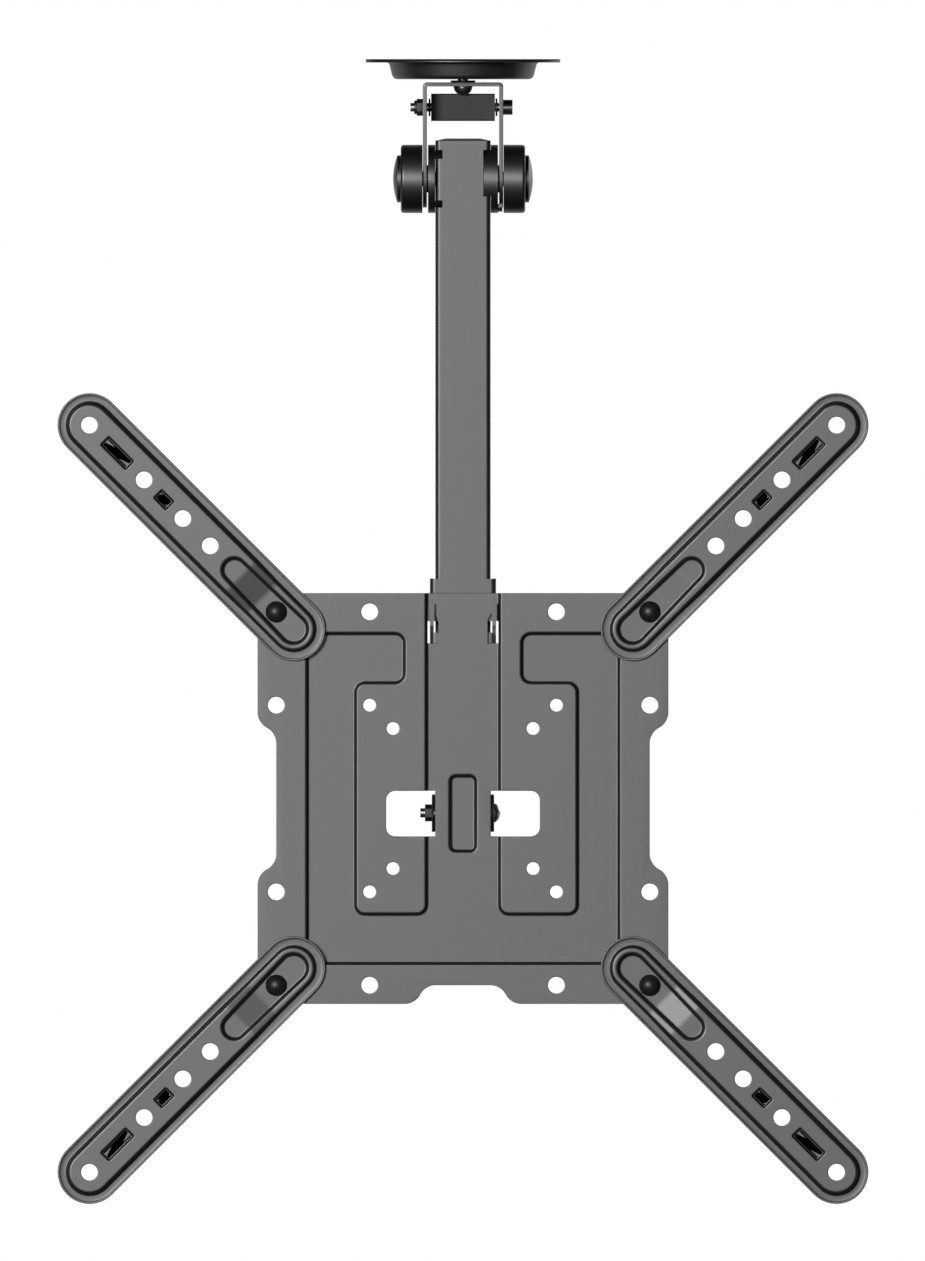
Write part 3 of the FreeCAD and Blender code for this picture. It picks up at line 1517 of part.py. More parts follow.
def arm(label, side, end, angle):
    sheet = S.arm_sheet
    tail = -S.arm_tail
    tip = S.arm_tip
    lip_front = sheet + S.arm_lip_rise
    mesa_low = S.arm_mesa_low
    mesa_high = mesa_low + S.arm_mesa_lift
    floor_high = sheet + S.arm_mesa_lift
    run = S.arm_mesa_foot_radius - S.arm_mesa_top_radius
    lean = run / (mesa_high - sheet)
    wall_width = sheet * slant(run, mesa_high - sheet) / (mesa_high - sheet)
    piece = Piece(label)

    def belt(name, depth, radius, start=tail, tip_radius=None, finish=tip):
        """A belt outline this far in front of the arm's back."""
        drawing = piece.drawing(name, offset=depth)
        drawing.belt(start, radius, finish, radius if tip_radius is None else tip_radius)
        return drawing

    piece.pad("Lip", belt("LipBelt", 0.0, S.arm_lip_radius), lip_front)
    band = belt("BandBelt", lip_front + CUT_MARGIN, S.arm_band_radius)
    piece.pocket("Band", band, CUT_MARGIN + S.arm_lip_rise)
    piece.loft(
        "Mesa",
        belt("MesaFoot", sheet, S.arm_mesa_foot_radius),
        belt("MesaTop", mesa_high, S.arm_mesa_top_radius),
    )
    beyond = S.arm_tail + S.arm_lip_radius + CUT_MARGIN
    half_width = S.arm_lip_radius
    ramp = piece.drawing("RampSide", "XY_Plane", half_width)
    ramp.outline(
        [
            (-beyond, -mesa_low),
            (S.arm_ramp_start, -mesa_low),
            (S.arm_ramp_end, -mesa_high),
            (S.arm_ramp_end, -(mesa_high + CUT_MARGIN)),
            (-beyond, -(mesa_high + CUT_MARGIN)),
        ]
    )
    piece.pocket("Ramp", ramp, half_width * 2)

    foot_radius = S.arm_mesa_foot_radius + lean * sheet - wall_width
    low_depth = mesa_low - sheet
    high_depth = mesa_high - sheet
    high_start = S.arm_ramp_end + S.arm_mesa_foot_radius
    piece.loft(
        "LowHollow",
        belt("LowHollowMouth", 0.0, foot_radius),
        belt("LowHollowRoof", low_depth, foot_radius - lean * low_depth),
        cut=True,
    )
    piece.loft(
        "HighHollow",
        belt("HighHollowMouth", 0.0, foot_radius, start=high_start),
        belt("HighHollowRoof", high_depth, foot_radius - lean * high_depth, start=high_start),
        cut=True,
    )

    pocket_tip = S.arm_pocket_end
    cup_share = 0.95
    cup = belt(
        "CupBelt",
        0.0,
        S.arm_pocket_tail_radius + sheet,
        tip_radius=S.arm_pocket_tip_radius + sheet,
        finish=pocket_tip,
    )
    piece.pad("Cup", cup, mesa_low * cup_share)
    mouth_spread = S.arm_pocket_wall_run / (mesa_low - sheet)
    over = mesa_high + CUT_MARGIN
    mouth_grow = mouth_spread * (over - mesa_low)
    piece.loft(
        "BoltPocket",
        belt(
            "PocketFloor",
            sheet,
            S.arm_pocket_tail_radius - S.arm_pocket_wall_run,
            tip_radius=S.arm_pocket_tip_radius - S.arm_pocket_wall_run,
            finish=pocket_tip,
        ),
        belt(
            "PocketMouth",
            over,
            S.arm_pocket_tail_radius + mouth_grow,
            tip_radius=S.arm_pocket_tip_radius + mouth_grow,
            finish=pocket_tip,
        ),
        cut=True,
    )
    floor_half_width = S.arm_pocket_tip_radius
    floor_end = pocket_tip + S.arm_pocket_tip_radius
    raised_floor = piece.drawing("FloorSide", "XY_Plane", floor_half_width)
    raised_floor.outline(
        [
            (S.arm_ramp_start, -sheet),
            (S.arm_ramp_start, -sheet * 0.5),
            (floor_end, -sheet * 0.5),
            (floor_end, -floor_high),
            (S.arm_ramp_end, -floor_high),
        ]
    )
    piece.pad("RaisedFloor", raised_floor, floor_half_width * 2, backwards=True)

    holes = piece.drawing("ArmHoles", offset=over)
    holes.circle(0, 0, S.pivot_shank_radius + S.pivot_clearance)
    for distance in (S.arm_hole_near, S.arm_hole_second, S.arm_hole_third, tip):
        holes.circle(distance, 0, S.arm_hole_radius)
    piece.pocket("Holes", holes, over + CUT_MARGIN)
    marks = piece.drawing("ArmMarks", offset=over)
    for centre, length in (
        (S.arm_long_mark_centre, S.arm_long_mark_length),
        (S.arm_short_mark_centre, S.arm_short_mark_length),
    ):
        rounded_rectangle(marks, length * 0.5, S.arm_mark_width * 0.5, S.arm_mark_width * 0.2, x=centre)
    piece.pocket("Marks", marks, CUT_MARGIN + S.arm_mark_depth)
    return piece.place(
        x=PIVOT_OFFSET * side,
        y=ARM_BACK,
        z=PLATE_CENTRE + PIVOT_OFFSET * end,
        axis=(0, 1, 0),
        angle=angle,
    )


ARMS = (
    ("arm_upper_left", -1, 1, -135),
    ("arm_upper_right", 1, 1, -45),
    ("arm_lower_left", -1, -1, 135),
    ("arm_lower_right", 1, -1, 45),
)


def pivot_sets():
    """The four arm pivots: bolts, washers and self-locking nuts, each kind a group."""
    head_seat = ARM_BACK - S.arm_sheet
    nut_seat = PLATE_RIM_BACK + S.pivot_washer_thickness
    bolt_end = nut_seat + S.pivot_nut_height + S.pivot_bolt_overrun
    bolts, washers, nuts = [], [], []
    for label, side, end, _ in ARMS:
        where = {"x": PIVOT_OFFSET * side, "z": PLATE_CENTRE + PIVOT_OFFSET * end}
        bolts.append(
            domed_bolt(
                label + "_bolt",
                S.pivot_head_radius,
                S.pivot_head_height,
                S.pivot_shank_radius,
                bolt_end - head_seat,
                y=head_seat,
                **where,
                **TO_FRONT,
            )
        )
        washers.append(
            ring(
                label + "_washer",
                S.pivot_washer_radius,
                S.pivot_shank_radius + S.pivot_clearance,
                S.pivot_washer_thickness,
                y=PLATE_RIM_BACK,
                **where,
                **TO_BACK,
            )
        )
        nuts.append(
            self_locking_nut(
                label + "_nut",
                S.pivot_nut_flats,
                S.pivot_shank_radius + THREAD_ROOM,
                S.pivot_nut_height,
                y=nut_seat,
                **where,
                **TO_BACK,
            )
        )
    return [group("arm_bolts", bolts), group("arm_washers", washers), group("arm_nuts", nuts)]


def build_all():
    """Every sub-part of the mount, from the ceiling down."""
    parts = [ceiling_plate()]
    parts += swivel_set()
    parts.append(yoke())
    parts += cross_set()
    parts += hinge_fasteners()
    for name, side, turned in (("left", -1, TO_LEFT), ("right", 1, TO_RIGHT)):
        parts.append(outer_hub(f"outer_hub_{name}", HUB_START * side, turned))
        parts.append(hub_cap(f"hub_cap_{name}", HUB_END * side, turned))
    parts.append(inner_hub("inner_hub_left", -1, LEFT_TABS))
    parts.append(inner_hub("inner_hub_right", 1, RIGHT_TABS, lug=True))
    parts.append(hinge_sleeve())
    parts.append(pole())
    parts += pole_caps()
    parts.append(hook_bracket())
    parts.append(vesa_plate())
    parts += frame_screw("plate", EAR_OUTER, PLATE_SCREW_HEIGHT)
    parts += frame_screw("bracket", BRACKET_OUTER, BRACKET_SCREW_HEIGHT)
    parts += [arm(*row) for row in ARMS]
    parts += pivot_sets()
    return parts


def check_and_export(parts):
    """Stop on any failed object or bad shape, and write each sub-part to its own file."""
    DOCUMENT.recompute()
    for item in DOCUMENT.Objects:
        if {"Invalid", "Error"} & set(item.State):
            raise RuntimeError(f"{item.Label} failed to build")
    for part in parts:
        if part.Shape.isNull() or not part.Shape.isValid():
            raise RuntimeError(f"{part.Label} has no valid shape")
    os.makedirs("parts", exist_ok=True)
    for part in parts:
        part.Shape.exportStep(f"parts/{part.Label}.step")
        print(f"{part.Label}: {len(part.Shape.Solids)} solid, {part.Shape.Volume:.0f} mm3")


check_and_export(build_all())
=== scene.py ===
"""A ceiling mount for a flat screen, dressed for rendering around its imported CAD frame."""

import enum
import logging
import math
from dataclasses import dataclass
from typing import Callable, Iterable, Sequence

import bmesh
import bpy
from mathutils import Matrix, Vector


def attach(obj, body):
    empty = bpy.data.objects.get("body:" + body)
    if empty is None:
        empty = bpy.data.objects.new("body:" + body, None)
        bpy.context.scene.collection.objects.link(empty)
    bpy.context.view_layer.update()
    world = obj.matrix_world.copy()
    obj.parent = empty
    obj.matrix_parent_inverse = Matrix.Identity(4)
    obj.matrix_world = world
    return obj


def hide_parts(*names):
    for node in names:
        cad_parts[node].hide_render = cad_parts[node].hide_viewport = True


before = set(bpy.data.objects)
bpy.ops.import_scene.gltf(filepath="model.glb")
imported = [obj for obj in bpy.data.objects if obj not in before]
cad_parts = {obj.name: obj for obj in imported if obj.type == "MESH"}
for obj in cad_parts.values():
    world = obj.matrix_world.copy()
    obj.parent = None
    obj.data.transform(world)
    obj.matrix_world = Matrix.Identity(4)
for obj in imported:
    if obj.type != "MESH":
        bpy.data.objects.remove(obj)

LOG = logging.getLogger("ceiling_mount")

# Shapes are drawn in millimetres and put into the frame in metres.
MM = 0.001
TO_VIEWER = Matrix.Rotation(math.radians(90), 4, "X")
# Heights and places that differ by less than this count as the same.
LEVEL = 1e-3
# Corners that lie closer together than this are one corner.
WELD = 1e-4
# Width of the level band that keeps a flat's shading flat beside a pressed wall.
GUARD = 0.35
# Width of the level band round a hole and inside a sheet's edge.
RIM_GUARD = 0.5
# The part of a noise texture's range that holds nearly all its values, and the
# fineness of the two textures of a finish.
NOISE_RANGE = (0.3, 0.7)
MOTTLE_DETAIL = 3.0
GRAIN_DETAIL = 2.0
# On a kept CAD node: how near its faces' corners are joined and the width of the easing
# on its edges, in millimetres, and the turn in degrees that makes an edge sharp.
KEPT_WELD = 0.001
KEPT_EASE = 0.2
KEPT_SHARP = 30.0
# The screen plate's middle under the ceiling, its front, and the arms' backs and pivots.
PLATE_DROP = 395.9
PLATE_FRONT = 22.1
ARM_BACK = 22.2
PIVOT_REACH = 100.0

Point = tuple[float, float]
Step = tuple[float, float]


# Finishes


@dataclass(frozen=True)
class Finish:
    """A surface finish with its colour, gloss and fine texture.

    Attributes:
        name: The material's name.
        slot: The record's material slot that the finish belongs to; not used.
        colour: Linear base colour.
        roughness: Middle roughness.
        roughness_spread: How far the roughness wanders from the middle.
        metallic: Share of bare metal.
        specular: Specular level of the shader.
        ior: Index of refraction of its clear surface.
        grain_mm: Size of the fine surface grain.
        grain_height_mm: Height of the grain for the bump.
        mottle_mm: Size of the slow colour and gloss variation.
        mottle_share: How strongly the colour follows the slow variation.
    """

    name: str
    slot: str
    colour: tuple[float, float, float]
    roughness: float
    roughness_spread: float
    metallic: float = 0.0
    specular: float = 0.5
    ior: float = 1.5
    grain_mm: float = 0.6
    grain_height_mm: float = 0.01
    mottle_mm: float = 14.0
    mottle_share: float = 0.12

    def material(self) -> bpy.types.Material:
        """Build the finish's node material, or hand back the one already built.

        Returns:
            The material.
        """
        known = bpy.data.materials.get(self.name)
        if known is not None:
            return known
        material = bpy.data.materials.new(self.name)
        material.use_nodes = True
        nodes = material.node_tree.nodes
        links = material.node_tree.links
        shader = nodes["Principled BSDF"]
        shader.inputs["Metallic"].default_value = self.metallic
        shader.inputs["Specular IOR Level"].default_value = self.specular
        shader.inputs["IOR"].default_value = self.ior

        place = nodes.new("ShaderNodeTexCoord")
        mottle = nodes.new("ShaderNodeTexNoise")
        mottle.inputs["Scale"].default_value = 1.0 / (self.mottle_mm * MM)
        mottle.inputs["Detail"].default_value = MOTTLE_DETAIL
        links.new(place.outputs["Object"], mottle.inputs["Vector"])
        grain = nodes.new("ShaderNodeTexNoise")
        grain.inputs["Scale"].default_value = 1.0 / (self.grain_mm * MM)
        grain.inputs["Detail"].default_value = GRAIN_DETAIL
        links.new(place.outputs["Object"], grain.inputs["Vector"])

        tint = nodes.new("ShaderNodeValToRGB")
        for index, sign in ((0, -1.0), (1, 1.0)):
            stop = tint.color_ramp.elements[index]
            stop.position = NOISE_RANGE[index]
            stop.color = (*(c * (1.0 + sign * self.mottle_share) for c in self.colour), 1.0)
        links.new(mottle.outputs["Fac"], tint.inputs["Fac"])
        links.new(tint.outputs["Color"], shader.inputs["Base Color"])

        gloss = nodes.new("ShaderNodeMapRange")
        gloss.inputs["From Min"].default_value = NOISE_RANGE[0]
        gloss.inputs["From Max"].default_value = NOISE_RANGE[1]
        gloss.inputs["To Min"].default_value = self.roughness - self.roughness_spread
        gloss.inputs["To Max"].default_value = self.roughness + self.roughness_spread
        links.new(grain.outputs["Fac"], gloss.inputs["Value"])
        links.new(gloss.outputs["Result"], shader.inputs["Roughness"])

        bump = nodes.new("ShaderNodeBump")
        bump.inputs["Distance"].default_value = self.grain_height_mm * MM
        links.new(grain.outputs["Fac"], bump.inputs["Height"])
        links.new(bump.outputs["Normal"], shader.inputs["Normal"])
        return material


class Coat(enum.Enum):
    """The finishes that the mount's pieces have."""

    POWDER = Finish(
        name="powder_coat",
        slot="powder_coated_steel",
        colour=(0.011, 0.011, 0.011),
        roughness=0.445,
        roughness_spread=0.02,
        specular=1.0,
        ior=1.6,
        grain_mm=0.5,
        grain_height_mm=0.006,
    )
    GLOSS_STEEL = Finish(
        name="gloss_coat",
        slot="gloss_black_steel",
        colour=(0.01, 0.01, 0.01),
        roughness=0.45,
        roughness_spread=0.02,
        specular=1.0,
        ior=1.6,
        grain_mm=1.2,
        grain_height_mm=0.004,
    )
    BLACK_OXIDE = Finish(
        name="black_oxide",
        slot="black_fastener",
        colour=(0.012, 0.012, 0.012),
        roughness=0.42,
        roughness_spread=0.04,
        grain_mm=0.8,
        grain_height_mm=0.003,
    )
    ZINC = Finish(
        name="bright_zinc",
        slot="zinc_steel",
        colour=(0.5, 0.505, 0.51),
        roughness=0.32,
        roughness_spread=0.04,
        metallic=1.0,
        grain_mm=0.4,
        grain_height_mm=0.004,
    )
    GLOSS_PLASTIC = Finish(
        name="gloss_plastic",
        slot="gloss_black_plastic",
        colour=(0.003, 0.003, 0.0031),
        roughness=0.41,
        roughness_spread=0.02,
        specular=1.0,
        ior=1.65,
        grain_mm=0.9,
        grain_height_mm=0.003,
    )
    MATTE_PLASTIC = Finish(
        name="matte_plastic",
        slot="matte_black_plastic",
        colour=(0.01, 0.01, 0.0103),
        roughness=0.55,
        roughness_spread=0.05,
        grain_mm=0.35,
        grain_height_mm=0.012,
    )


# Shaping


def press_profile(
    rise: float, outer: float, inner: float, lean: float, arcs: int = 4
) -> list[Step]:
    """The run and rise of each step across a pressed wall with a fillet on either side.

    Args:
        rise: Height of the wall, negative for a wall that goes down.
        outer: Radius of the fillet where the wall starts.
        inner: Radius of the fillet where it ends.
        lean: Steepest angle of the wall from the sheet's plane, in degrees.
        arcs: Steps in each fillet.

    Returns:
        Pairs of inward run and rise, in order.
    """
    sign = math.copysign(1.0, rise)
    steep = math.radians(lean)
    angles = [steep * index / arcs for index in range(arcs + 1)]

    def rounded(radius: float) -> list[Step]:
        """The steps of a fillet, from level to steep."""
        return [
            (radius * (math.sin(b) - math.sin(a)), sign * radius * (math.cos(a) - math.cos(b)))
            for a, b in zip(angles, angles[1:])
        ]

    straight_rise = abs(rise) - (outer + inner) * (1 - math.cos(steep))
    straight = [(straight_rise / math.tan(steep), sign * straight_rise)]
    return rounded(outer) + straight + rounded(inner)[::-1]


def arc_points(
    centre: Point, radius: float, start: float, finish: float, steps: int
) -> list[Point]:
    """Points along an arc, ends included, with angles in degrees."""
    angles = [math.radians(start + (finish - start) * i / steps) for i in range(steps + 1)]
    return [(centre[0] + radius * math.cos(a), centre[1] + radius * math.sin(a)) for a in angles]


class Form:
    """A mesh being shaped, in millimetres in a frame of its own."""

    def __init__(self) -> None:
        """Start an empty mesh with a mark for the vertices on its open rims."""
        self.bm = bmesh.new()
        self.rim = self.bm.verts.layers.int.new("rim")

    def polygon(self, points: Iterable[Point], height: float = 0.0) -> bmesh.types.BMFace:
        """Lay a flat face on some corners.

        Args:
            points: Corners, anticlockwise as seen from above.
            height: The face's height.

        Returns:
            The face.
        """
        corners = [self.bm.verts.new((x, y, height)) for x, y in points]
        face = self.bm.faces.new(corners)
        face.normal_update()
        return face

    def box(
        self, left: float, bottom: float, right: float, top: float, height: float
    ) -> bmesh.types.BMFace:
        """Lay a flat rectangle."""
        return self.polygon([(left, bottom), (right, bottom), (right, top), (left, top)], height)

    def rounded(
        self, face: bmesh.types.BMFace, radius_at: Callable[[Vector], float], arcs: int = 6
    ) -> bmesh.types.BMFace:
        """Round a face's corners in its own plane.

        Args:
            face: The face.
            radius_at: Gives a corner's rounding, or 0 for a sharp one.
            arcs: Steps in each corner.

        Returns:
            The face with its corners rounded.
        """
        groups: dict[float, list[bmesh.types.BMVert]] = {}
        for corner in face.verts:
            radius = radius_at(corner.co)
            if radius > 0:
                groups.setdefault(radius, []).append(corner)
        others = set(self.bm.faces) - {face}
        for radius, corners in groups.items():
            bmesh.ops.bevel(
                self.bm,
                geom=corners,
                offset=radius,
                offset_type="OFFSET",
                segments=arcs,
                profile=0.5,
                affect="VERTICES",
                clamp_overlap=False,
                material=-1,
            )
        return max(set(self.bm.faces) - others, key=lambda item: item.calc_area())

    def disc(
        self, x: float, y: float, radius: float, height: float, sides: int = 40
    ) -> bmesh.types.BMFace:
        """Lay a round face."""
        made = bmesh.ops.create_circle(
            self.bm,
            cap_ends=True,
            radius=radius,
            segments=sides,
            matrix=Matrix.Translation((x, y, height)),
        )
        return made["verts"][0].link_faces[0]

    def belt(
        self,
        tail: float,
        tail_radius: float,
        tip: float,
        tip_radius: float,
        height: float,
        steps: int = 20,
    ) -> bmesh.types.BMFace:
        """Lay the face inside a belt round two circles on the X axis."""
        lean = math.degrees(math.acos((tail_radius - tip_radius) / (tip - tail)))
        tip_end = arc_points((tip, 0), tip_radius, -lean, lean, steps)
        tail_end = arc_points((tail, 0), tail_radius, lean, 360 - lean, steps)
        return self.polygon(tip_end + tail_end, height)

    def step_in(self, face: bmesh.types.BMFace, steps: Iterable[Step]) -> bmesh.types.BMFace:
        """Inset a face step by step, so that its surrounding wall follows a profile.

        Args:
            face: The level face that is drawn in and raised.
            steps: Pairs of run and rise.

        Returns:
            The inner face.
        """
        for run, rise in steps:
            bmesh.ops.inset_region(
                self.bm,
                faces=[face],
                thickness=run,
                use_even_offset=True,
                use_boundary=True,
            )
            bmesh.ops.translate(self.bm, verts=face.verts, vec=(0, 0, rise))
        return face

    def press(self, face: bmesh.types.BMFace, profile: Iterable[Step]) -> bmesh.types.BMFace:
        """Press a face in or out, with a narrow level band on either side of its wall.

        Args:
            face: The level face, wider than the wall's outline by the band.
            profile: The wall's steps.

        Returns:
            The face inside both bands.
        """
        return self.step_in(face, [(GUARD, 0.0), *profile, (GUARD, 0.0)])

    def mark_rim(self, face: bmesh.types.BMFace) -> bmesh.types.BMFace:
        """Mark a face's outline as an open rim, and give back the face inside a narrow band."""
        outline = list(face.verts)
        inner = self.step_in(face, [(RIM_GUARD, 0.0)])
        for vertex in inner.verts:
            vertex[self.rim] = 0
        for vertex in outline:
            if vertex.is_valid and vertex not in set(inner.verts):
                vertex[self.rim] = 1
        return inner

    def hole(self, x: float, y: float, radius: float, height: float) -> None:
        """Prepare a round hole: a narrow band round an open rim, for a flat to be filled up to."""
        face = self.disc(x, y, radius + RIM_GUARD, height)
        inner = self.step_in(face, [(RIM_GUARD, 0.0)])
        for vertex in inner.verts:
            vertex[self.rim] = 1
        self.open(inner)

    def open(self, face: bmesh.types.BMFace) -> None:
        """Take a face away and leave its edges."""
        bmesh.ops.delete(self.bm, geom=[face], context="FACES_ONLY")

    def fill_level(self, height: float) -> None:
        """Fill the flat of one height up to every open edge that is no rim."""
        edges = [
            edge
            for edge in self.bm.edges
            if len(edge.link_faces) < 2
            and all(abs(v.co.z - height) < LEVEL for v in edge.verts)
            and not all(v[self.rim] for v in edge.verts)
        ]
        bmesh.ops.triangle_fill(self.bm, use_beauty=True, edges=edges, normal=(0, 0, 1))

    def near(self, low: Point, high: Point) -> list:
        """The faces that reach into a rectangle, with their edges and corners."""
        faces = [
            face
            for face in self.bm.faces
            if max(v.co.x for v in face.verts) > low[0]
            and min(v.co.x for v in face.verts) < high[0]
            and max(v.co.y for v in face.verts) > low[1]
            and min(v.co.y for v in face.verts) < high[1]
        ]
        edges = {edge for face in faces for edge in face.edges}
        corners = {vertex for face in faces for vertex in face.verts}
        return faces + list(edges) + list(corners)

    def punch(self, outline: Sequence[Point]) -> None:
        """Cut a hole with a convex outline straight through.

        Args:
            outline: The hole's corners, anticlockwise.
        """
        low = (min(x for x, _ in outline), min(y for _, y in outline))
        high = (max(x for x, _ in outline), max(y for _, y in outline))
        sides = []
        for (x1, y1), (x2, y2) in zip(outline, list(outline[1:]) + [outline[0]]):
            outward = Vector((y2 - y1, x1 - x2, 0)).normalized()
            sides.append((Vector((x1, y1, 0)), outward))
        for corner, outward in sides:
            bmesh.ops.bisect_plane(
                self.bm, geom=self.near(low, high), dist=WELD, plane_co=corner, plane_no=outward
            )
        inside = [
            face
            for face in self.bm.faces
            if all(
                (face.calc_center_median() - corner).dot(outward) < 0
                for corner, outward in sides
            )
        ]
        bmesh.ops.delete(self.bm, geom=inside, context="FACES")

    def cut(self, point: Sequence[float], normal: Sequence[float], drop: bool = False) -> None:
        """Cut the whole mesh with a plane, and drop what lies beyond it if asked."""
        geometry = list(self.bm.verts) + list(self.bm.edges) + list(self.bm.faces)
        bmesh.ops.bisect_plane(
            self.bm, geom=geometry, dist=WELD, plane_co=point, plane_no=normal, clear_outer=drop
        )

    def lathe(
        self,
        outline: Sequence[Point],
        radius_at: Callable[[Vector], float] = lambda corner: 0.0,
        sides: int = 72,
        arcs: int = 4,
    ) -> None:
        """Turn a closed outline of radius and height about the Z axis.

        Args:
            outline: The section's corners, as radius and height.
            radius_at: Gives a section corner's rounding.
            sides: Steps round the full turn.
            arcs: Steps in each rounded corner.
        """
        face = self.rounded(self.polygon(outline), radius_at, arcs)
        edges = [edge for edge in face.edges if not all(abs(v.co.x) < LEVEL for v in edge.verts)]
        spare = [edge for edge in face.edges if edge not in edges]
        self.open(face)
        bmesh.ops.delete(self.bm, geom=spare, context="EDGES")
        corners = list({vertex for edge in edges for vertex in edge.verts})
        upright = Matrix.Rotation(math.radians(90), 3, "X")
        bmesh.ops.rotate(self.bm, verts=corners, cent=(0, 0, 0), matrix=upright)
        bmesh.ops.spin(
            self.bm,
            geom=edges + corners,
            cent=(0, 0, 0),
            axis=(0, 0, 1),
            angle=math.radians(360),
            steps=sides,
            use_merge=True,
            use_duplicate=False,
        )
        self.weld()

    def prism(self, face: bmesh.types.BMFace, length: float) -> None:
        """Raise a flat face, which is turned to look down, into a closed solid."""
        made = bmesh.ops.extrude_face_region(self.bm, geom=[face], use_keep_orig=True)
        upper = [item for item in made["geom"] if isinstance(item, bmesh.types.BMVert)]
        bmesh.ops.translate(self.bm, verts=upper, vec=(0, 0, length))
        face.normal_flip()

    def weld(self) -> None:
        """Merge doubled corners."""
        bmesh.ops.remove_doubles(self.bm, verts=self.bm.verts, dist=WELD)

    def face_out(self) -> None:
        """Turn the faces of a closed mesh outwards."""
        bmesh.ops.recalc_face_normals(self.bm, faces=self.bm.faces)

    def thicken(self, back: Sequence[float], ease: float) -> None:
        """Give an open sheet its thickness and ease the edges of its front.

        Args:
            back: The way from the front to the back.
            ease: Width of the easing.
        """
        front = set(self.bm.faces)
        made = bmesh.ops.extrude_face_region(self.bm, geom=list(front), use_keep_orig=True)
        moved = [item for item in made["geom"] if isinstance(item, bmesh.types.BMVert)]
        behind = {item for item in made["geom"] if isinstance(item, bmesh.types.BMFace)}
        bmesh.ops.translate(self.bm, verts=moved, vec=back)
        sides = set(self.bm.faces) - front - behind
        edges = [
            edge
            for edge in self.bm.edges
            if any(face in front for face in edge.link_faces)
            and any(face in sides for face in edge.link_faces)
        ]
        bmesh.ops.bevel(
            self.bm,
            geom=edges,
            offset=ease,
            offset_type="OFFSET",
            segments=2,
            profile=0.5,
            affect="EDGES",
            clamp_overlap=False,
            material=-1,
        )
        self.face_out()

    def piece(self, name: str, place: Matrix = Matrix.Identity(4)) -> bpy.types.Object:
        """Make the form an object whose place is in its mesh.

        Args:
            name: The object's name.
            place: Where the form's frame lies in the mount's frame, in metres.

        Returns:
            The object.
        """
        self.bm.transform(place @ Matrix.Scale(MM, 4))
        if place.determinant() < 0:
            bmesh.ops.reverse_faces(self.bm, faces=self.bm.faces)
        for face in self.bm.faces:
            face.smooth = True
        mesh = bpy.data.meshes.new(name)
        self.bm.to_mesh(mesh)
        self.bm.free()
        piece = bpy.data.objects.new(name, mesh)
        bpy.context.scene.collection.objects.link(piece)
        return piece


def even_shading(piece: bpy.types.Object) -> None:
    """Shade a piece so that its flats look flat and its eased edges round."""
    flat = piece.modifiers.new("flat_faces", "WEIGHTED_NORMAL")
    flat.keep_sharp = False


def dress(piece: bpy.types.Object, body: str, coat: Coat, nodes: Sequence[str]) -> bpy.types.Object:
    """Give a piece its finish and its body, and let it stand for its CAD nodes.

    Args:
        piece: The piece.
        body: The body that it rides on.
        coat: Its finish.
        nodes: The CAD nodes that it replaces.

    Returns:
        The piece.
    """
    piece.data.materials.append(coat.value.material())
    even_shading(piece)
    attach(piece, body)
    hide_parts(*nodes)
    LOG.info("%s: %d faces, on %s", piece.name, len(piece.data.polygons), body)
    return piece


# Sub-assemblies


def at(x: float, y: float, z: float) -> Matrix:
    """The place of a point given in millimetres."""
    return Matrix.Translation(Vector((x, y, z)) * MM)


def dress_node(node: str, coat: Coat) -> None:
    """Finish a CAD node that keeps its own shape.

    Args:
        node: The node.
        coat: Its finish.
    """
    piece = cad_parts[node]
    piece.data.materials.clear()
    piece.data.materials.append(coat.value.material())
    weld = piece.modifiers.new("joined_faces", "WELD")
    weld.merge_threshold = KEPT_WELD * MM
    ease = piece.modifiers.new("eased_edges", "BEVEL")
    ease.width = KEPT_EASE * MM
    ease.segments = 2
    ease.limit_method = "ANGLE"
    ease.angle_limit = math.radians(KEPT_SHARP)
    even_shading(piece)
    LOG.info("%s keeps its CAD shape", node)


@dataclass
class CeilingDish:
    """The pressed disc that is screwed to the ceiling, sizes in millimetres."""

    flange_radius: float = 52.15
    mouth_radius: float = 39.75
    floor_radius: float = 37.5
    depth: float = 10.75
    sheet: float = 1.8
    floor_fillet: float = 2.2
    mouth_fillet: float = 1.2
    bore_radius: float = 3.0
    screw_radius: float = 3.25
    screw_circle: float = 46.0
    edge_ease: float = 0.3
    sides: int = 120
    hole_sides: int = 24
    overrun: float = 1.0

    def build(self) -> None:
        """Shape and dress the dish, and dress the washer on its floor."""
        form = Form()
        section = [
            (self.bore_radius, -self.depth),
            (self.floor_radius, -self.depth),
            (self.mouth_radius, -self.sheet),
            (self.flange_radius, -self.sheet),
        ]

        def rounding(corner: Vector) -> float:
            """The fillet at a corner of the section."""
            if abs(corner.x - self.floor_radius) < LEVEL:
                return self.floor_fillet
            return self.mouth_fillet if abs(corner.x - self.mouth_radius) < LEVEL else 0.0

        closing = [(self.flange_radius, self.overrun), (self.bore_radius, self.overrun)]
        form.lathe(section + closing, rounding, sides=self.sides)
        above = [
            face
            for face in form.bm.faces
            if max(v.co.z for v in face.verts) > -self.sheet + LEVEL
        ]
        bmesh.ops.delete(form.bm, geom=above, context="FACES")
        for quarter in range(4):
            angle = math.radians(45 + 90 * quarter)
            centre = (self.screw_circle * math.cos(angle), self.screw_circle * math.sin(angle))
            form.punch(arc_points(centre, self.screw_radius, 0, 360, self.hole_sides)[:-1])
        form.thicken((0, 0, self.sheet), self.edge_ease)
        piece = form.piece("dish")
        dress(piece, "ceiling", Coat.GLOSS_STEEL, ["ceiling_plate"])
        dress_node("swivel_top_washer", Coat.ZINC)


